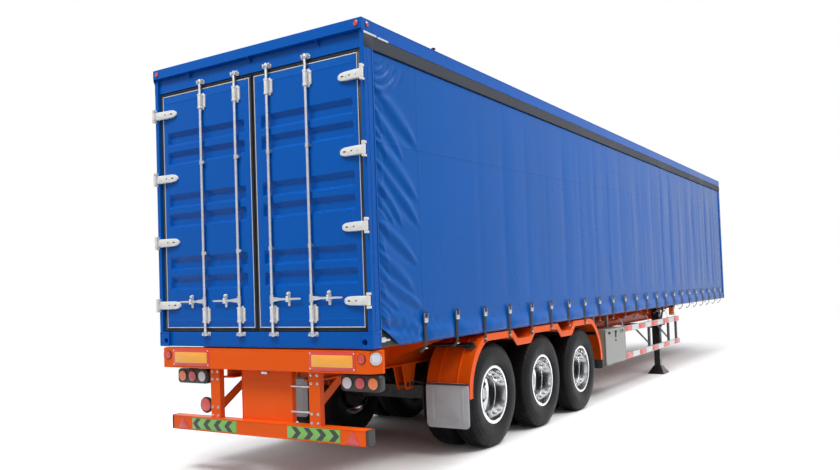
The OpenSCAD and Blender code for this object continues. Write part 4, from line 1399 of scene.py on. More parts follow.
    def build(self) -> None:
        """Builds the door and everything that swings with it."""
        word = self.side.word
        self.piece("door_panel", Slot.BODY, f"rear_door_{word}").of(self.panel(), BODY_BLUE, crease=50.0)
        self.piece("door_trim", Slot.STEEL).of(self.trim(), TRIM)
        self.piece("door_rubber", Slot.SEAL, f"door_seal_{word}").of(self.seal(), SEAL, crease=70.0)
        guides = joined([self.guide(y, z) for y in self.rods for z in (1.467, 3.445)])
        retainers = joined([self.retainer(y) for y in self.rods])
        self.piece("rod_guides", Slot.STEEL).of((guides + retainers).on(self.side), HINGE)
        rods = joined([self.rod(y) for y in self.rods])
        self.piece("lock_rod_set", Slot.STEEL, f"lock_rods_{word}").of(rods.on(self.side), STEEL)
        blades, slots = zip(*(self.blade(z) for z in self.hinges))
        self.piece("hinge_set", Slot.STEEL, f"hinge_blades_{word}").of(joined(blades).on(self.side), HINGE)
        # The slot blocks are painted shade that stands in for the dark hollows.
        self.piece("hinge_slots", Slot.STEEL).of(joined(slots).on(self.side), SLOT_SHADE)


# ------------------------------------------------------------------ rear end


def lamp(radius: float, height: float, place: Point, direction: Point) -> tuple[Surface, Surface]:
    """A round lamp: a lens with a rolled rim and a shallow dome, in a bezel.

    Args:
        radius: the lens's radius.
        height: how far it stands out.
        place: the middle of its seat.
        direction: where it faces.

    Returns:
        The lens and the bezel.
    """
    turn = pointing(direction)
    share = np.linspace(0.0, math.pi / 2, 7)
    dome = [(height * (0.72 + 0.28 * math.cos(a)), 0.90 * radius * math.sin(a)) for a in share]
    lens = turned([*dome, (height * 0.62, 0.965 * radius), (height * 0.45, radius * 0.985),
                   (0.0, radius * 0.985), (0.0, 0.0)],
                  40, Axis.Z)
    ring = turned([(0.0, radius * 0.97), (height * 0.55, radius * 0.985), (height * 0.72, radius * 1.01),
                   (height * 0.66, radius * 1.06), (height * 0.3, radius * 1.085), (0.0, radius * 1.09)], 40,
                  Axis.Z)
    return lens.copies([place], turn), ring.copies([place], turn)


@dataclass
class RearEnd:
    """The rear beam, the underrun guard, and the lamps, boards and films on them."""

    face: float = REAR + 0.034
    board_z: Pair = (1.000, 1.155)
    cluster: tuple[float, float, float] = (0.862, 0.994, 1.127)
    cluster_z: float = 0.885
    fog: Pair = (0.757, 0.630)
    chamfer: Point = (-0.614, 0.789, 0.0)

    def reflector(self) -> None:
        """The long plates on the beam: an amber field in a red border, held by four screws."""
        y0, y1 = 0.592, 1.073
        back = slab((REAR - 0.0050, y0, self.board_z[0]), (REAR + 0.0005, y1, self.board_z[1]), 0.0015,
                    0.006, Axis.X)
        field = slab((REAR - 0.0062, y0 + 0.027, self.board_z[0] + 0.028),
                     (REAR - 0.004, y1 - 0.027, self.board_z[1] - 0.028),
                     0.0006, 0.0015, Axis.X)
        screw = turned([(0, 0.0065), (0.0015, 0.0065), (0.003, 0.004), (0.0032, 0)], 14, Axis.Z)
        seats = [(REAR - 0.005, y, z) for y in (y0 + 0.013, y1 - 0.013)
                 for z in (self.board_z[0] + 0.014, self.board_z[1] - 0.014)]
        fixed("beam_reflector_borders", Slot.REFLECTOR, "reflector_boards").of(back.both(), RED_FILM)
        fixed("beam_reflector_fields", Slot.REFLECTOR).of(field.both(), YELLOW_FILM)
        fixed("beam_reflector_screws", Slot.STEEL).of(screw.copies(seats, TO_REAR).both(), HINGE)

    def chevrons(self) -> None:
        """Green boards on the guard with black arrow bands that point outwards."""
        plate = slab((self.face - 0.0035, 0.301, 0.413), (self.face + 0.0005, 0.869, 0.517), 0.001, 0.004,
                     Axis.X)
        rows = []
        for at in 0.345 + 0.136 * np.arange(4):
            stations = [[(self.face - dx, at + push + dy, z)
                         for dx, dy in ((0.0030, 0), (0.0030, 0.058), (0.0042, 0.058),
                                                                         (0.0042, 0))]
                        for push, z in ((0.0, 0.4165), (0.050, 0.465), (0.0, 0.5135))]
            rows.append(lofted(np.array(stations)))
        fixed("guard_boards", Slot.GREEN, "chevron_boards").of(plate.both(), GREEN_FILM)
        fixed("guard_board_arrows", Slot.GREEN).of(joined(rows).both(), BLACK_FILM)

    def triangle(self, inset: float, level: float) -> Array:
        """A three-cornered ring, drawn in by inset, at a level behind the guard's face."""
        corners = np.array([[0.920 + 1.62 * inset, 0.412 + inset], [1.070 - 1.62 * inset, 0.412 + inset],
                            [0.995, 0.518 - 1.9 * inset]])
        return np.column_stack([np.full(3, self.face - level), corners])

    def lamps(self) -> None:
        """All lamps of the rear, sorted by colour, their bezels, and the housings that hold them."""
        x = REAR + 0.1575
        red = [(0.036, 0.012, (REAR, 1.135, 1.100), (-1, 0, 0)),
               (0.050, 0.012, (x, self.cluster[1], self.cluster_z), (-1, 0, 0)),
               (0.0235, 0.008, (REAR - 0.0195, 1.195, 3.786), (-1, 0, 0))]
        amber = [(0.050, 0.012, (x, self.cluster[2], self.cluster_z), (-1, 0, 0))]
        white = [(0.050, 0.012, (x, self.cluster[0], self.cluster_z), (-1, 0, 0)),
                 (0.036, 0.009, (REAR + 0.0445, 1.2406, 1.100), self.chamfer),
                 (0.028, 0.010, (FRONT, 1.180, 1.245), (1, 0, 0))]
        lenses = {key: [lamp(*one) for one in group]
                  for key, group in (("red", red), ("amber", amber), ("white", white))}
        fog, fog_ring = lamp(0.064, 0.012, (REAR + 0.102, *self.fog), (-1, 0, 0))
        # The triangle reflectors join the red lamp lenses and share their faint glow: a painted glow on
        # parts that are no lamps.
        rings = [lofted(np.stack([self.triangle(i, v)
                                  for i, v in ((0.0, -0.0005), (0.0, 0.004), (0.002, 0.0055))])),
                 lofted(np.stack([self.triangle(i, v)
                                  for i, v in ((0.014, 0.005), (0.014, 0.0072), (0.016, 0.0078))]))]
        reds = joined([one for one, _ in lenses["red"]] + rings).both() + fog
        marker = slab((2.4885, 1.1290, 1.009), (2.4940, 1.2110, 1.150), 0.002, 0.010, Axis.X, 4)
        tab = slab((2.4935, 1.1250, 1.005), (2.4980, 1.2150, 1.1795), 0.001, 0.012, Axis.X, 4)
        ring = turned([(0.0, 0.039), (0.005, 0.039), (0.0065, 0.044), (0.005, 0.050), (0.0, 0.051)], 40,
                      Axis.Z)
        wide = ring.copies([(REAR + 0.0445, 1.2406, 1.100)], pointing(self.chamfer))
        fixed("red_lenses", Slot.RED, "red_lamps").of(reds, RED)
        fixed("amber_lenses", Slot.AMBER, "amber_lamps").of(
            joined([one for one, _ in lenses["amber"]] + [marker]).both(), AMBER)
        whites = joined([one for one, _ in lenses["white"]]).both()
        fixed("white_lenses", Slot.WHITE, "white_lamps").of(whites, WHITE)
        bezels = joined([ring for group in ("red", "amber") for _, ring in lenses[group]]
                        + [lenses["white"][0][1], tab])
        fixed("lamp_bezels", Slot.HOUSING).of(bezels.both() + fog_ring, HOUSING)
        bright = joined([rim for _, rim in lenses["white"][1:]] + [wide])
        fixed("lamp_bright_bezels", Slot.STEEL).of(bright.both(), STEEL)
        shell = slab((REAR + 0.1565, 0.7925, 0.8155), (REAR + 0.2295, 1.1965, 0.9545), 0.008, 0.034, Axis.X,
                     6)
        hanger = slab((REAR + 0.170, 0.930, 0.950), (REAR + 0.178, 1.060, 1.000), 0.0015, axis=Axis.X)
        shelf = slab((REAR + 0.120, 0.930, 0.992), (REAR + 0.178, 1.060, 1.000), 0.0015, axis=Axis.Z)
        gland = turned([(0.2295, 0.020), (0.240, 0.020), (0.240, 0.012), (0.262, 0.010), (0.262, 0)], 16,
                       Axis.X,
                       (REAR, 0.994, self.cluster_z))
        pod = turned([(0.1005, 0.0), (0.1005, 0.070), (0.102, 0.0745), (0.106, 0.0755), (0.124, 0.072),
                      (0.130, 0.060), (0.130, 0.0)], 40, Axis.X, (REAR, *self.fog))
        arm = slab((REAR + 0.104, 0.645, 0.618), (REAR + 0.112, 0.702, 0.642), 0.0015, axis=Axis.X)
        housings = joined([shell, hanger, shelf, gland]).both() + pod + arm
        fixed("lamp_shells", Slot.HOUSING, "lamp_housings").of(housings, HOUSING)

    def fixings(self) -> None:
        """Bolts on the guard's posts and braces, small bars beside the middle panel, and the plate lamp."""
        post = [(REAR + 0.060, y, z) for y in (0.553, 0.621) for z in (0.548, 0.625, 0.880, 0.950)]
        bolts = hexagon_bolt(0.0095, 0.008, 0.006).copies(post, TO_REAR)
        rails = [round_bar((REAR + 0.102, -0.296, z), (REAR + 0.102, -0.530, z), 0.0105, 16)
                 for z in (0.845, 0.628)]
        cover = slab((REAR + 0.082, -0.035, 0.938), (REAR + 0.114, 0.035, 0.968), 0.004, 0.008, Axis.Y)
        fold = slab((REAR + 0.1105, -0.296, 0.868), (REAR + 0.1135, 0.296, 0.873), 0.0012, axis=Axis.Y)
        rims = [slab((REAR + 0.108, s * 0.296 - 0.004, 0.532), (REAR + 0.1135, s * 0.296 + 0.004, 0.978),
                     0.0015) for s in (-1, 1)]
        fixed("guard_bolts", Slot.STEEL).of(bolts.both() + joined([*rails, cover]), STEEL)
        fixed("guard_panel_folds", Slot.CHASSIS).of(joined([fold, *rims]), ORANGE)
        lips = [slab((self.face - 0.0025, -1.124, z), (self.face + 0.002, 1.124, z + 0.010), 0.0012,
                     axis=Axis.Y)
                for z in (0.4005, 0.5195)]
        fixed("guard_bar_lips", Slot.CHASSIS).of(joined(lips), ORANGE)
        seam = slab((REAR - 0.0012, -1.178, 1.1565), (REAR + 0.001, 1.178, 1.1645), 0.0006, axis=Axis.Y)
        fixed("beam_top_lip", Slot.CHASSIS).of(seam, ORANGE)

    def build(self) -> None:
        """Dresses the CAD parts and places everything else."""
        softened("rear_beam", 0.005, Slot.CHASSIS, ORANGE, 3)
        softened("underrun_guard", 0.004, Slot.CHASSIS, ORANGE, 3)
        softened("underrun_end_caps", 0.012, Slot.HOUSING, HOUSING, 4)
        self.reflector()
        self.chevrons()
        self.lamps()
        self.fixings()


# ------------------------------------------------------------------ bogie


@dataclass
class TwinWheel:
    """A pair of twin tyres on their rims, on one side of one axle."""

    side: Side
    number: int
    x: float
    nut_circle: float = 0.144
    cap_circle: float = 0.072
    height: float = 0.530
    twin: float = 0.895
    offset: float = 0.165
    lugs: int = 52
    steps: int = 4

    def tread(self) -> Surface:
        """One tyre about the Y axis, closed from bead to bead.

        The radius follows the section; five grooves are cut round the tread as products of smooth steps, and
        the shoulders are notched between lugs, each notch turned a little against the other side's.
        """
        half = np.array([[0.000, 0.5300], [0.060, 0.5297], [0.083, 0.5285], [0.094, 0.5250], [0.104, 0.5190],
                         [0.1095, 0.5120], [0.1130, 0.5030], [0.1185, 0.4960], [0.1270, 0.4800],
                         [0.1330, 0.4600], [0.1365, 0.4420], [0.1385, 0.4380], [0.1395, 0.4200],
                         [0.1400, 0.3950], [0.1392, 0.3760], [0.1360, 0.3560], [0.1340, 0.3545],
                         [0.1315, 0.3310], [0.1250, 0.3120], [0.1225, 0.3100], [0.1175, 0.3000],
                         [0.1080, 0.2970], [0.0980, 0.2850], [0.0900, 0.2790], [0.0800, 0.2776]])
        cuts = np.array([0.000, 0.0345, 0.0690])
        fine = np.unique(np.concatenate(
            [(cuts[:, None] + np.array([-0.0060, -0.0048, 0.0, 0.0048, 0.0060])).ravel(), half[:3, 0]]))
        fine = fine[(fine >= 0) & (fine < 0.083)]
        crown = np.column_stack([fine, np.interp(fine, half[:3, 0], half[:3, 1])])
        near = np.abs(fine[:, None] - cuts).min(axis=1)
        crown[:, 1] -= 0.0125 * (1.0 - smooth(0.0045, 0.0061, near))
        upper = np.vstack([crown, half[2:]])
        section = np.vstack([upper, [[0.0, 0.2776]], (upper * [-1.0, 1.0])[::-1][:-1]])
        count = self.lugs * self.steps
        angle = np.linspace(0.0, 2.0 * math.pi, count, endpoint=False)
        width, radius = section[:, :1], section[:, 1:]
        lean = 2.0 * math.pi / self.lugs * 0.5 * np.sign(width)
        beat = np.mod((angle[None, :] + lean) * self.lugs / (2.0 * math.pi), 1.0)
        notch = (beat < 1.0 / self.steps * 0.99) * smooth(0.088, 0.100, np.abs(width)) * (radius > 0.492)
        blade = (beat < 1.0 / self.steps * 0.99) * (np.abs(width) > 0.0755) * (radius > 0.52) * 0.45
        deep = radius - 0.0095 * np.maximum(notch, blade)
        rows = np.stack([deep * np.cos(angle), width + 0.0 * angle, deep * np.sin(angle)], -1)
        return Surface.grid(rows, wrap_rows=True, wrap_cols=True)

    def fixings(self) -> Surface:
        """Ten nuts, and the hub cap with its small bolts, about the wheel's axis."""
        turn = pointing((0, 1, 0))
        r, angles = self.nut_circle, np.radians(18 + 36 * np.arange(10))
        seats = [(r * math.cos(a), 0.914, r * math.sin(a)) for a in angles]
        nuts = hexagon_bolt(0.0165, 0.020, 0.012).copies(seats, turn)
        r, angles = self.cap_circle, np.radians(60 * np.arange(6))
        seats = [(r * math.cos(a), 1.0445, r * math.sin(a)) for a in angles]
        small = hexagon_bolt(0.0060, 0.005).copies(seats, turn)
        cap = turned([(1.040, 0.060), (1.050, 0.060), (1.060, 0.052), (1.066, 0.030), (1.067, 0.0)], 36,
                     Axis.Y)
        return joined([nuts, small, cap])

    def lip(self) -> Surface:
        """The outer rim's flange, rolled over, and the valve that reaches out beside it."""
        roll = turned([(1.150, 0.2625), (1.172, 0.2640), (1.1770, 0.2720), (1.1785, 0.2850),
                       (1.1770, 0.2960), (1.1720, 0.2990), (1.1680, 0.2975), (1.1690, 0.2880),
                       (1.1660, 0.2740), (1.150, 0.2700)],
                      96, Axis.Y)
        well = turned([(1.040, 0.2628), (1.044, 0.2600), (1.052, 0.2600), (1.056, 0.2628)], 96, Axis.Y)
        valve = round_bar((0.205, 0.935, 0.130), (0.214, 1.075, 0.136), 0.0045, 10) + round_bar(
            (0.2135, 1.070, 0.1355), (0.2150, 1.098, 0.1365), 0.0062, 10)
        return joined([roll, well, valve])

    def build(self) -> None:
        """Builds the tyres and dresses the wheel."""
        body = f"wheel_{self.side.word}_{self.number}"
        tail = f"{self.side.word}_{self.number}"
        hub = [(self.x, 0.0, self.height)]
        pair = self.tread().copies([(self.x, self.twin + d, self.height)
                                    for d in (-self.offset, self.offset)])
        Piece(f"tyre_pair_{tail}", body, Slot.TYRE, (f"tyres_{tail}",)).of(pair.on(self.side), TYRE,
                                                                           crease=38.0)

        def painted(middles: Array) -> Array:
            """The hub and the drum, which are painted and not polished."""
            radius = np.hypot(middles[:, 0] - self.x, middles[:, 2] - self.height)
            return (radius < 0.124) | ((radius < 0.205) & (np.abs(middles[:, 1]) < 0.875))

        softened(f"wheels_{tail}", 0.0015, Slot.ALLOY, ALLOY, 2, [(HUB, painted)])
        Piece(f"wheel_lip_{tail}", body, Slot.ALLOY).of(self.lip().copies(hub).on(self.side), ALLOY)
        Piece(f"wheel_fixings_{tail}", body, Slot.ALLOY).of(self.fixings().copies(hub).on(self.side), STEEL)


@dataclass
class Bogie:
    """Axles, springs, fenders and flaps round the wheels."""

    first: float = -4.600
    pitch: float = 1.240
    spring_y: float = 0.490

    @property
    def axles(self) -> list[float]:
        """Where the three axles are along the trailer."""
        return [self.first + i * self.pitch for i in range(3)]

    def fender_line(self, r: float) -> Array:
        """The fender's line over the three wheels, at a distance r from the end axles."""

        def arc(at: float, start: float, end: float) -> Array:
            """The round end about one axle."""
            a = np.radians(np.linspace(start, end, 24))
            return np.column_stack([at + r * np.cos(a), 0.6 + r * 0.95 * np.sin(a)])

        top = 0.515 + r
        a, b, c = self.axles
        start, low = 0.350 - 0.36 * (0.650 - r), 0.470 - 0.36 * (0.650 - r)
        flat = [(a - 0.230, 0), (a + start, 0), (a + low, -0.1), (b - low, -0.1), (b - start, 0),
                (b + start, 0), (b + low, -0.1), (c - low, -0.1), (c - start, 0), (c + 0.230, 0)]
        return np.vstack([arc(a, 183, 120), np.array(flat) + [0.0, top], arc(c, 62, -1)])

    def fender_ribs(self) -> Surface:
        """Two pressed ribs over each round end of the fenders."""
        line = self.fender_line(0.6510)
        path = np.column_stack([line[:, 0], 0.0 * line[:, 0], line[:, 1]])
        rib = outline(0.026, 0.007, 0.0032, 2)
        return joined([swept(rib, part + [0, y, 0], (0, 1, 0)) for y in (0.900, 1.110)
                       for part in (path[5:23], path[-23:-4])])

    def fender_roll(self) -> Surface:
        """A round bead along the lower edge of the fenders' outer lip, and a thin one along its top."""
        beads = []
        for r, size, y in ((0.5865, 0.0065, 1.2410), (0.6490, 0.0030, 1.2440)):
            line = self.fender_line(r)
            path = np.column_stack([line[:, 0], np.full(len(line), y), line[:, 1]])
            beads.append(swept(circle(size, 10), path, (0, 1, 0)))
        return joined(beads)

    def clamps(self) -> Surface:
        """Round clamps on the tubes at the fenders' rear ends, and the bolts of the lower tubes."""
        x, z = self.axles[0] - 0.460, 1.072
        ring = turned([(0.0, 0.0195), (0.0, 0.0285), (0.034, 0.0285), (0.034, 0.0195)], 24, Axis.Y)
        rings = ring.copies([(x, y, z) for y in (1.120, 1.172)])
        foot = slab((x - 0.034, 1.116, z - 0.036), (x + 0.020, 1.210, z - 0.012), 0.003)
        cap = turned([(1.2195, 0.0), (1.2225, 0.012), (1.2225, 0.019), (1.205, 0.0225), (1.205, 0.0195)], 24,
                     Axis.Y, (x, 0, z))
        bolts = hexagon_bolt(0.008, 0.008).copies([(x, y, z + 0.028) for y in (1.137, 1.189)])
        return joined([rings, foot, cap, bolts])

    def flap(self, x0: float, z0: float, z1: float, corner: float) -> Surface:
        """A rubber flap with rounded lower corners, two upright ribs and a clamp strip's seat."""
        sheet = slab((x0, 0.761, z0), (x0 + 0.008, 1.239, z1), 0.0015, corner, Axis.X, 8)
        ribs = [slab((x0 - 0.0022, y - 0.012, z0 + 0.05), (x0 + 0.001, y + 0.012, z1 - 0.05), 0.001, 0.011,
                     Axis.X, 4)
                for y in (0.835, 1.165)]
        edge = slab((x0 - 0.0020, 0.85, z0 + 0.014), (x0 + 0.001, 1.095, z0 + 0.022), 0.0008, 0.003, Axis.X)
        return joined([sheet, *ribs, edge])

    def springs(self) -> Surface:
        """U-bolts over the leaf packs with their plates and nuts, and the clips round the leaves."""
        parts = []
        for x in self.axles:
            for dx in (-0.066, 0.066):
                for dy in (-0.047, 0.047):
                    parts.append(round_bar((x + dx, self.spring_y + dy, 0.440),
                                           (x + dx, self.spring_y + dy, 0.690), 0.009, 12))
                parts.append(round_bar((x + dx, self.spring_y - 0.050, 0.686),
                                       (x + dx, self.spring_y + 0.050, 0.686), 0.009, 12))
            parts.append(slab((x - 0.090, self.spring_y - 0.062, 0.442),
                              (x + 0.090, self.spring_y + 0.062, 0.458), 0.003))
            parts += [slab((x + dx - 0.014, self.spring_y - 0.044, 0.655),
                           (x + dx + 0.014, self.spring_y + 0.044, 0.6975), 0.002)
                      for dx in (-0.290, 0.290)]
            nuts = [(x + dx, self.spring_y + dy, 0.442) for dx in (-0.066, 0.066) for dy in (-0.047, 0.047)]
            parts.append(hexagon_bolt(0.015, 0.014, 0.012).copies(nuts, pointing((0, 0, -1))))
        return joined(parts)

    def hanger_pins(self) -> Surface:
        """The bolts that hold the leaf packs' ends between the hanger plates."""
        parts = []
        for i in range(4):
            x = self.axles[0] + (i - 0.5) * self.pitch
            for dx in (-0.035, 0.035):
                parts.append(round_bar((x + dx, 0.425, 0.690), (x + dx, 0.556, 0.690), 0.011, 14))
            heads = [(x + dx, 0.5455, 0.690) for dx in (-0.035, 0.035)]
            parts.append(hexagon_bolt(0.018, 0.012).copies(heads, pointing((0, 1, 0))))
        return joined(parts)

    def build(self) -> None:
        """Dresses the bogie."""
        softened("fenders", 0.0022, Slot.CHASSIS, ORANGE)
        softened("fender_stays", 0.003, Slot.AXLE, LEG)
        softened("axle_beams", 0.006, Slot.AXLE, AXLE, 3)
        softened("leaf_springs", 0.003, Slot.AXLE, AXLE)
        softened("spring_hangers", 0.002, Slot.CHASSIS, ORANGE)
        fixed("fender_ribs", Slot.CHASSIS).of(self.fender_ribs().both(), ORANGE)
        fixed("fender_edge_bead", Slot.CHASSIS).of(self.fender_roll().both(), ORANGE)
        fixed("fender_clamps", Slot.AXLE).of(self.clamps().both(), LEG)
        rear, front = self.axles[0] - 0.659, self.axles[2] + 0.651
        flaps = self.flap(rear, 0.286, 0.719, 0.045).both()
        fixed("rear_flaps", Slot.FLAP, "mud_flaps").of(flaps, FLAP)
        fixed("front_flaps", Slot.FLAP).of(self.flap(front, 0.466, 0.679, 0.02).both(), BLACK_FLAP)
        strips = [slab((rear - 0.004, 0.764, 0.698), (rear + 0.0105, 1.236, 0.717), 0.002, axis=Axis.Y)]
        strips.append(hexagon_bolt(0.008, 0.006).copies([(rear - 0.004, y, 0.7075)
                                                         for y in (0.80, 1.00, 1.20)],
                                                        TO_REAR))
        fixed("flap_strips", Slot.AXLE).of(joined(strips).both(), LEG)
        fixed("spring_bolts", Slot.AXLE).of((self.springs() + self.hanger_pins()).both(), AXLE)


# ------------------------------------------------------------------ equipment


@dataclass
class Toolbox:
    """The steel box under the right side, with its drop-down lid."""

    x0: float = -1.230
    x1: float = -0.340
    z0: float = 0.470
    z1: float = 0.970
    face: float = -1.212

    def build(self) -> None:
        """Dresses the box and the lid, and places latches, screws and folds."""
        softened("toolbox", 0.0022, Slot.BOX, BOX)
        softened("toolbox_lid", 0.0025, Slot.BOX, BOX, 3)
        rim = framed((self.x0 + 0.002, self.z0 + 0.010, self.x1 - 0.002, self.z1 - 0.005),
                     (self.x0 + 0.030, self.z0 + 0.038, self.x1 - 0.030, self.z1 - 0.033),
                     [(0.0, 0.001), (0.0, -0.0028), (0.12, -0.0040), (0.75, -0.0040), (1.0, -0.0005),
                      (1.0, 0.001)], Axis.Y)
        lip = Surface(np.stack([rim.points[:, 2], rim.points[:, 1] + self.face, rim.points[:, 0]], -1),
                      rim.faces)
        Piece("lid_rim", "toolbox_door", Slot.BOX).of(lip, BOX, crease=25.0)
        latches = []
        for x in (self.x0 + 0.165, (self.x0 + self.x1) / 2, self.x1 - 0.165):
            latches.append(slab((x - 0.030, self.face - 0.012, 0.9005),
                                (x + 0.030, self.face + 0.001, 0.938), 0.003, 0.010, Axis.Y))
            latches.append(slab((x - 0.009, self.face - 0.0205, 0.908),
                                (x + 0.009, self.face - 0.010, 0.931), 0.003, 0.005, Axis.Y))
        middle = (self.x0 + self.x1) / 2
        latches.append(slab((middle - 0.022, self.face - 0.009, 0.842),
                            (middle + 0.022, self.face + 0.001, 0.903), 0.002, 0.008, Axis.Y))
        latches.append(turned([(0.001, 0.016), (-0.006, 0.016), (-0.008, 0.012), (-0.008, 0.0)], 20, Axis.Y,
                              (middle, self.face, 0.800)))
        Piece("lid_latches", "toolbox_door", Slot.HOUSING).of(joined(latches), HOUSING)
        screw = turned([(0, 0.008), (0.002, 0.008), (0.0045, 0.0045), (0.005, 0)], 14, Axis.Z)
        seats = [(x, self.face - 0.0035, z) for x in (self.x0 + 0.018, self.x1 - 0.018)
                 for z in (0.500, 0.950)]
        Piece("lid_screws", "toolbox_door", Slot.HOUSING).of(screw.copies(seats, pointing((0, -1, 0))),
                                                             HOUSING)
        seals = framed((self.x0 + 0.004, self.z0 + 0.010, self.x1 - 0.004, self.z1 - 0.004),
                       (self.x0 + 0.018, self.z0 + 0.024, self.x1 - 0.018, self.z1 - 0.018),
                       [(0.0, 0.0), (0.0, 0.004), (0.5, 0.0055), (1.0, 0.004), (1.0, 0.0)], Axis.Y)
        gasket = Surface(np.stack([seals.points[:, 2], seals.points[:, 1] - 1.2005, seals.points[:, 0]], -1),
                         seals.faces)
        fixed("box_gasket", Slot.BOX).of(gasket, SEAL)


@dataclass
class SideGuards:
    """The guard rails along both sides, with red and silver films, posts and braces."""

    left: float = -1.300
    right: float = -0.310
    front: float = 2.870
    levels: Pair = (0.478, 0.883)
    height: float = 0.090
    blocks: int = 9

    def section(self) -> Array:
        """Half the rail's section is a wave with three flutes, and its back is plain."""
        z = np.linspace(0.0, self.height, 37)
        flute = 0.0016 * (1.0 - smooth(0.0015, 0.0030, np.abs(np.mod(z, 0.030) - 0.015)))
        inside = np.maximum(0.004 - np.minimum(z, self.height - z), 0.0)
        ends = 0.004 - np.sqrt(np.maximum(0.004**2 - inside**2, 0.0))
        face = np.column_stack([1.200 - flute - ends, z])
        back = np.array([[1.172, self.height], [1.1702, self.height - 0.003], [1.1702, 0.003], [1.172, 0.0]])
        return np.vstack([face, back])

    def rail(self, start: float, low: float) -> Surface:
        """One rail: the section carried along X."""
        ring = self.section()
        ends = [np.column_stack([np.full(len(ring), x), ring[:, 0], ring[:, 1] + low])
                for x in (start, self.front)]
        return lofted(np.stack(ends))

    def films(self, start: float, which: int) -> Surface:
        """Every second block of film on both rails of one side."""
        step = (self.front - start) / self.blocks
        block = slab((0.001, 1.1992, 0.0060), (step - 0.001, 1.2008, self.height - 0.0060), 0.0003,
                     axis=Axis.X, steps=1)
        return block.copies([(start + i * step, 0.0, low) for i in range(which, self.blocks, 2)
                             for low in self.levels])

    def places(self, start: float) -> list[float]:
        """Where the posts are along the trailer."""
        return [start + 0.06 + share * (self.front - start - 0.12) for share in (0.0, 0.44, 0.83, 1.0)]

    def post(self, x: float) -> Surface:
        """A post behind the rails: a channel with its web outwards."""
        web = slab((x - 0.030, 1.1635, 0.479), (x + 0.030, 1.1700, 0.972), 0.0015)
        cheeks = [slab((x + d - 0.003, 1.1350, 0.479), (x + d + 0.003, 1.1680, 0.972), 0.0015)
                  for d in (-0.027, 0.027)]
        caps = [slab((x - 0.030, 1.1350, z), (x + 0.030, 1.1690, z + 0.005), 0.0015)
                for z in (0.4785, 0.967)]
        return joined([web, *cheeks, *caps])

    def stay(self, x: float) -> Surface:
        """A thin strip from a post's top that bends inwards on its way up to the floor's frame."""
        t = np.linspace(0.0, 1.0, 12)
        path = np.column_stack([np.full(12, x), 1.150 - 0.210 * t**2, 0.955 + 0.232 * t ** 0.8])
        return swept(outline(0.016, 0.005, 0.0015, 1), path, (0.0, 1.0, 0.0))

    def braces(self, start: float) -> Surface:
        """A diagonal bar from the upper rail down to each of the two middle posts."""
        bars = [round_bar((x - 0.700, 1.150, 0.880), (x - 0.020, 1.150, 0.612), 0.0150, 14)
                for x in self.places(start)[1:3]]
        ends = [slab((x - 0.740, 1.140, 0.868), (x - 0.680, 1.1695, 0.900), 0.003)
                for x in self.places(start)[1:3]]
        return joined(bars + ends)

    def build(self) -> None:
        """Builds both sides; the two differ in length."""
        rails, red, silver, posts, stays, braces, ends = [], [], [], [], [], [], []
        for side, start in ((Side.LEFT, self.left), (Side.RIGHT, self.right)):
            rails += [self.rail(start, low).on(side) for low in self.levels]
            red.append(self.films(start, 0).on(side))
            silver.append(self.films(start, 1).on(side))
            posts += [self.post(x).on(side) for x in self.places(start)]
            stays += [self.stay(x).on(side) for x in self.places(start)]
            braces.append(self.braces(start).on(side))
            ends += [slab((x - 0.004, 1.171, low + 0.001), (x + 0.004, 1.199, low + self.height - 0.001),
                          0.002).on(side)
                     for x in (start, self.front) for low in self.levels]
        fixed("guard_rails", Slot.GUARD, "side_guards").of(joined(rails), GUARD)
        fixed("guard_red_films", Slot.REFLECTOR).of(joined(red), RED_FILM)
        fixed("guard_silver_films", Slot.REFLECTOR).of(joined(silver), SILVER_FILM)
        fixed("guard_posts", Slot.GUARD).of(joined(posts), GUARD_POST)
        fixed("guard_stays", Slot.GUARD).of(joined(stays), GUARD)
        fixed("guard_braces", Slot.LEG).of(joined(braces), LEG)
        fixed("guard_end_caps", Slot.HOUSING).of(joined(ends), HOUSING)


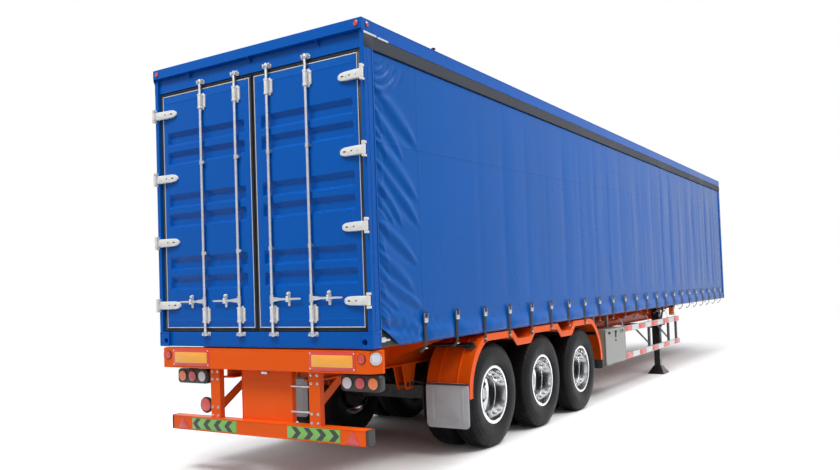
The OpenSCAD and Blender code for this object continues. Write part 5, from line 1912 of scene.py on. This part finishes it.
@dataclass
class FrontEquipment:
    """Landing legs, king pin, air tanks, couplings and everything under the front of the floor."""

    leg_x: float = 2.100

    def leg_details(self) -> Surface:
        """Bolted flanges at a leg's top, the collar on the inner tube, the foot's boss and pin, and a block
        on the leg's outer face.
        """
        x = self.leg_x
        collar = slab((x - 0.070, 0.930, 0.476), (x + 0.070, 1.070, 0.492), 0.003)
        boss = round_bar((x, 0.935, 0.115), (x, 1.065, 0.115), 0.028, 20)
        pin = round_bar((x, 0.925, 0.115), (x, 1.075, 0.115), 0.013, 16)
        heads = [(x + dx, 1.065, z) for dx in (-0.045, 0.045) for z in (0.975, 1.055, 1.135)]
        bolts = hexagon_bolt(0.011, 0.009).copies(heads, pointing((0, 1, 0)))
        gear = slab((x - 0.052, 1.064, 0.815), (x + 0.052, 1.088, 0.905), 0.004, 0.02, Axis.Y, 4)
        return joined([collar, boss, pin, bolts, gear])

    def couplings(self) -> tuple[Surface, Surface]:
        """The palm couplings' coloured covers, and the plate's screws."""
        cover = turned([(0.034, 0.0), (0.034, 0.026), (0.037, 0.029), (0.040, 0.028), (0.043, 0.020),
                        (0.044, 0.0)], 28, Axis.X)
        covers = cover.copies([(FRONT, y, 1.260) for y in (-0.160, 0.160)])
        screws = hexagon_bolt(0.008, 0.006).copies(
            [(FRONT + 0.004, y, z) for y in (-0.235, -0.085, 0.085, 0.235) for z in (1.215, 1.305)],
            pointing((1, 0, 0)))
        return covers, screws

    def build(self) -> None:
        """Dresses the parts and places the details."""
        softened("landing_legs", 0.004, Slot.LEG, LEG, 3)
        softened("landing_gear_shaft", 0.002, Slot.LEG, LEG)
        softened("king_pin_plate", 0.002, Slot.PLATE, PLATE)
        softened("air_tanks", 0.008, Slot.AXLE, ORANGE, 3)
        softened("coupling_heads", 0.0012, Slot.STEEL, STEEL)
        fixed("leg_details", Slot.LEG).of(self.leg_details().both(), LEG)
        covers, screws = self.couplings()
        fixed("coupling_covers", Slot.RED).of(covers, RED_PAINT)
        fixed("coupling_screws", Slot.STEEL).of(screws, STEEL)
        straps = [turned([(0, 0.150), (0, 0.1545), (0.030, 0.1545), (0.030, 0.150)], 48, Axis.X,
                         (x + d - 0.015, 0.0, 0.900))
                  for x in (-0.100, 0.900) for d in (0.150, 0.650)]
        drains = [turned([(0, 0.010), (-0.012, 0.010), (-0.016, 0.005), (-0.016, 0)], 14, Axis.Z,
                         (x, 0, 0.750)) for x in (0.3, 1.3)]
        fixed("tank_straps", Slot.STEEL).of(joined(straps + drains), STEEL)


@dataclass
class Chassis:
    """The rails, crossmembers, floor and front wall."""

    def build(self) -> None:
        """Dresses them, and adds the lashing rings."""
        softened("main_rails", 0.003, Slot.CHASSIS, ORANGE)
        softened("crossmembers", 0.0012, Slot.CHASSIS, ORANGE, 1)
        softened("side_rails", 0.0018, Slot.CHASSIS, ORANGE)
        softened("front_wall", 0.0025, Slot.BODY, BODY_BLUE)
        dressed("deck_floor", FLOOR)
        x = REAR + 0.9 + 1.1 * np.arange(12)
        ring = turned([(0.0, 0.018), (0.003, 0.021), (0.006, 0.018), (0.003, 0.015)], 16, Axis.X)
        rings = ring.copies([(float(at), 1.190, 1.163) for at in x])
        fixed("lashing_rings", Slot.CHASSIS).of(rings.both(), ORANGE)


# ------------------------------------------------------------------ stage


@dataclass
class Stage:
    """The pale floor, the light round the trailer, and the camera."""

    floor_reach: float = 60.0
    fade: Pair = (1.2, 6.5)
    covered: Point = (7.0, 1.4, 0.0)
    floor_seen: tuple[float, ...] = (0.88, 0.88, 0.885, 1.0)
    floor_unseen: tuple[float, ...] = (0.36, 0.37, 0.38, 1.0)
    place: Point = (-11.80662, -4.86572, 1.65346)
    heading: float = math.radians(32.0457)
    pitch: float = math.radians(2.1309)
    roll: float = math.radians(-1.98899)
    lens: float = 33.447
    shift: Pair = (-0.0023, 0.0278)

    @staticmethod
    def seen(graph: Graph) -> Socket:
        """One where the camera sees a surface, directly or in metal or glass, and nought for other light.

        Args:
            graph: the floor's or the world's nodes.

        Returns:
            The socket with that value.
        """
        rays = graph.add("LightPath").outputs
        mirrored = graph.math("MAXIMUM", rays["Is Glossy Ray"], rays["Is Transmission Ray"])
        return graph.math("MAXIMUM", rays["Is Camera Ray"], mirrored)

    def floor(self) -> None:
        """A pale floor that takes the shadow and clears to the backdrop a few metres from the trailer."""
        material = bpy.data.materials.new("studio_floor")
        material.use_nodes = True
        material.node_tree.nodes.clear()
        graph = Graph(material.node_tree)
        place = graph.add("VectorMath", {0: graph.add("TexCoord").outputs["Object"]},
                          operation="ABSOLUTE").outputs[0]
        beyond = graph.add("VectorMath", {0: place, 1: self.covered}, operation="SUBTRACT").outputs[0]
        outside = graph.add("VectorMath", {0: beyond, 1: (0.0, 0.0, 0.0)}, operation="MAXIMUM").outputs[0]
        away = graph.add("VectorMath", {0: outside}, operation="LENGTH").outputs["Value"]
        colour = graph.mix(self.seen(graph), self.floor_unseen, self.floor_seen)
        pale = graph.add("BsdfDiffuse", {"Color": colour}).outputs[0]
        clear = graph.add("BsdfTransparent").outputs[0]
        shader = graph.add("MixShader", {0: graph.ramp(away, *self.fade), 1: pale, 2: clear}).outputs[0]
        graph.add("OutputMaterial", {"Surface": shader})
        steps = np.linspace(-self.floor_reach, self.floor_reach, 9)
        x, y = np.meshgrid(steps, steps, indexing="ij")
        surface = Surface.grid(np.stack([x, y, 0.0 * x - 0.0005], -1))
        mesh = bpy.data.meshes.new("studio_floor")
        mesh.from_pydata(surface.points.tolist(), [], surface.faces.tolist())
        mesh.materials.append(material)
        thing = bpy.data.objects.new("studio_floor", mesh)
        bpy.context.scene.collection.objects.link(thing)

    def world(self) -> None:
        """Soft light from all round, brighter from above, before a plain white backdrop."""
        world = bpy.data.worlds.new("studio")
        bpy.context.scene.world = world
        world.use_nodes = True
        world.node_tree.nodes.clear()
        graph = Graph(world.node_tree)
        up = graph.add("SeparateXYZ", {0: graph.add("NewGeometry").outputs["Incoming"]}).outputs["Z"]
        level = graph.ramp(up, -0.8, 0.5, SKY_TOP, SKY_LOW)
        soft = graph.add("Background", {"Color": (1.0, 1.0, 1.0, 1.0), "Strength": level}).outputs[0]
        white = graph.add("Background", {"Color": (1.0, 1.0, 1.0, 1.0), "Strength": 1.0}).outputs[0]
        shader = graph.add("MixShader", {0: self.seen(graph), 1: soft, 2: white}).outputs[0]
        graph.add("OutputWorld", {"Surface": shader})

    def light(self, name: str, at: Point, towards: Point, size: Pair, power: float) -> None:
        """A rectangular soft light.

        Args:
            name: its name.
            at: its middle.
            towards: the point it faces.
            size: its two sides.
            power: watts.
        """
        data = bpy.data.lights.new(name, "AREA")
        data.shape, data.size, data.size_y, data.energy = "RECTANGLE", size[0], size[1], power
        thing = bpy.data.objects.new(name, data)
        line = Vector(towards) - Vector(at)
        thing.matrix_world = Matrix.Translation(at) @ line.to_track_quat("-Z", "Y").to_matrix().to_4x4()
        bpy.context.scene.collection.objects.link(thing)

    def camera(self) -> None:
        """A camera behind the right rear corner, at a standing person's height."""
        level = math.cos(self.pitch)
        ahead = Vector((level * math.cos(self.heading), level * math.sin(self.heading),
                        math.sin(self.pitch)))
        right = ahead.cross(Vector((0.0, 0.0, 1.0))).normalized()
        up = right.cross(ahead)
        x = math.cos(self.roll) * right + math.sin(self.roll) * up
        y = -math.sin(self.roll) * right + math.cos(self.roll) * up
        data = bpy.data.cameras.new("view")
        data.sensor_width, data.lens = 36.0, self.lens
        data.shift_x, data.shift_y = self.shift
        data.clip_end = 300.0
        thing = bpy.data.objects.new("view", data)
        thing.matrix_world = Matrix.Translation(self.place) @ Matrix((x, y, -ahead)).transposed().to_4x4()
        bpy.context.scene.collection.objects.link(thing)
        bpy.context.scene.camera = thing

    def build(self) -> None:
        """Sets the stage."""
        self.floor()
        self.world()
        middle = 2.4
        self.light("key", (-0.5, -1.5, 16.0), (0.0, -1.0, 0.0), (16.0, 5.0), KEY_POWER)
        self.light("side", (-2.0, -9.5, 12.0), (0.0, -1.25, middle), (14.0, 3.0), SIDE_POWER)
        self.light("rear", (-12.0, 0.5, 11.5), (REAR, 0.0, middle), (5.0, 3.0), REAR_POWER)
        self.camera()
        bpy.context.scene.view_settings.view_transform = "Standard"


def main() -> None:
    """Builds the trailer and its stage."""
    logging.basicConfig(level=logging.INFO, format="%(message)s")
    parts = [Chassis(), RoofEdges(), RearFrame(), RearEnd(), Straps(), Bogie(), Toolbox(), SideGuards(),
             FrontEquipment()]
    parts += [kind(side) for kind in (Curtain, RearDoor) for side in Side]
    parts += [TwinWheel(side, i + 1, x) for side in Side for i, x in enumerate(Bogie().axles)]
    for part in parts:
        LOG.info("building %s", type(part).__name__)
        part.build()
    Stage().build()


if __name__ == "__main__":
    main()
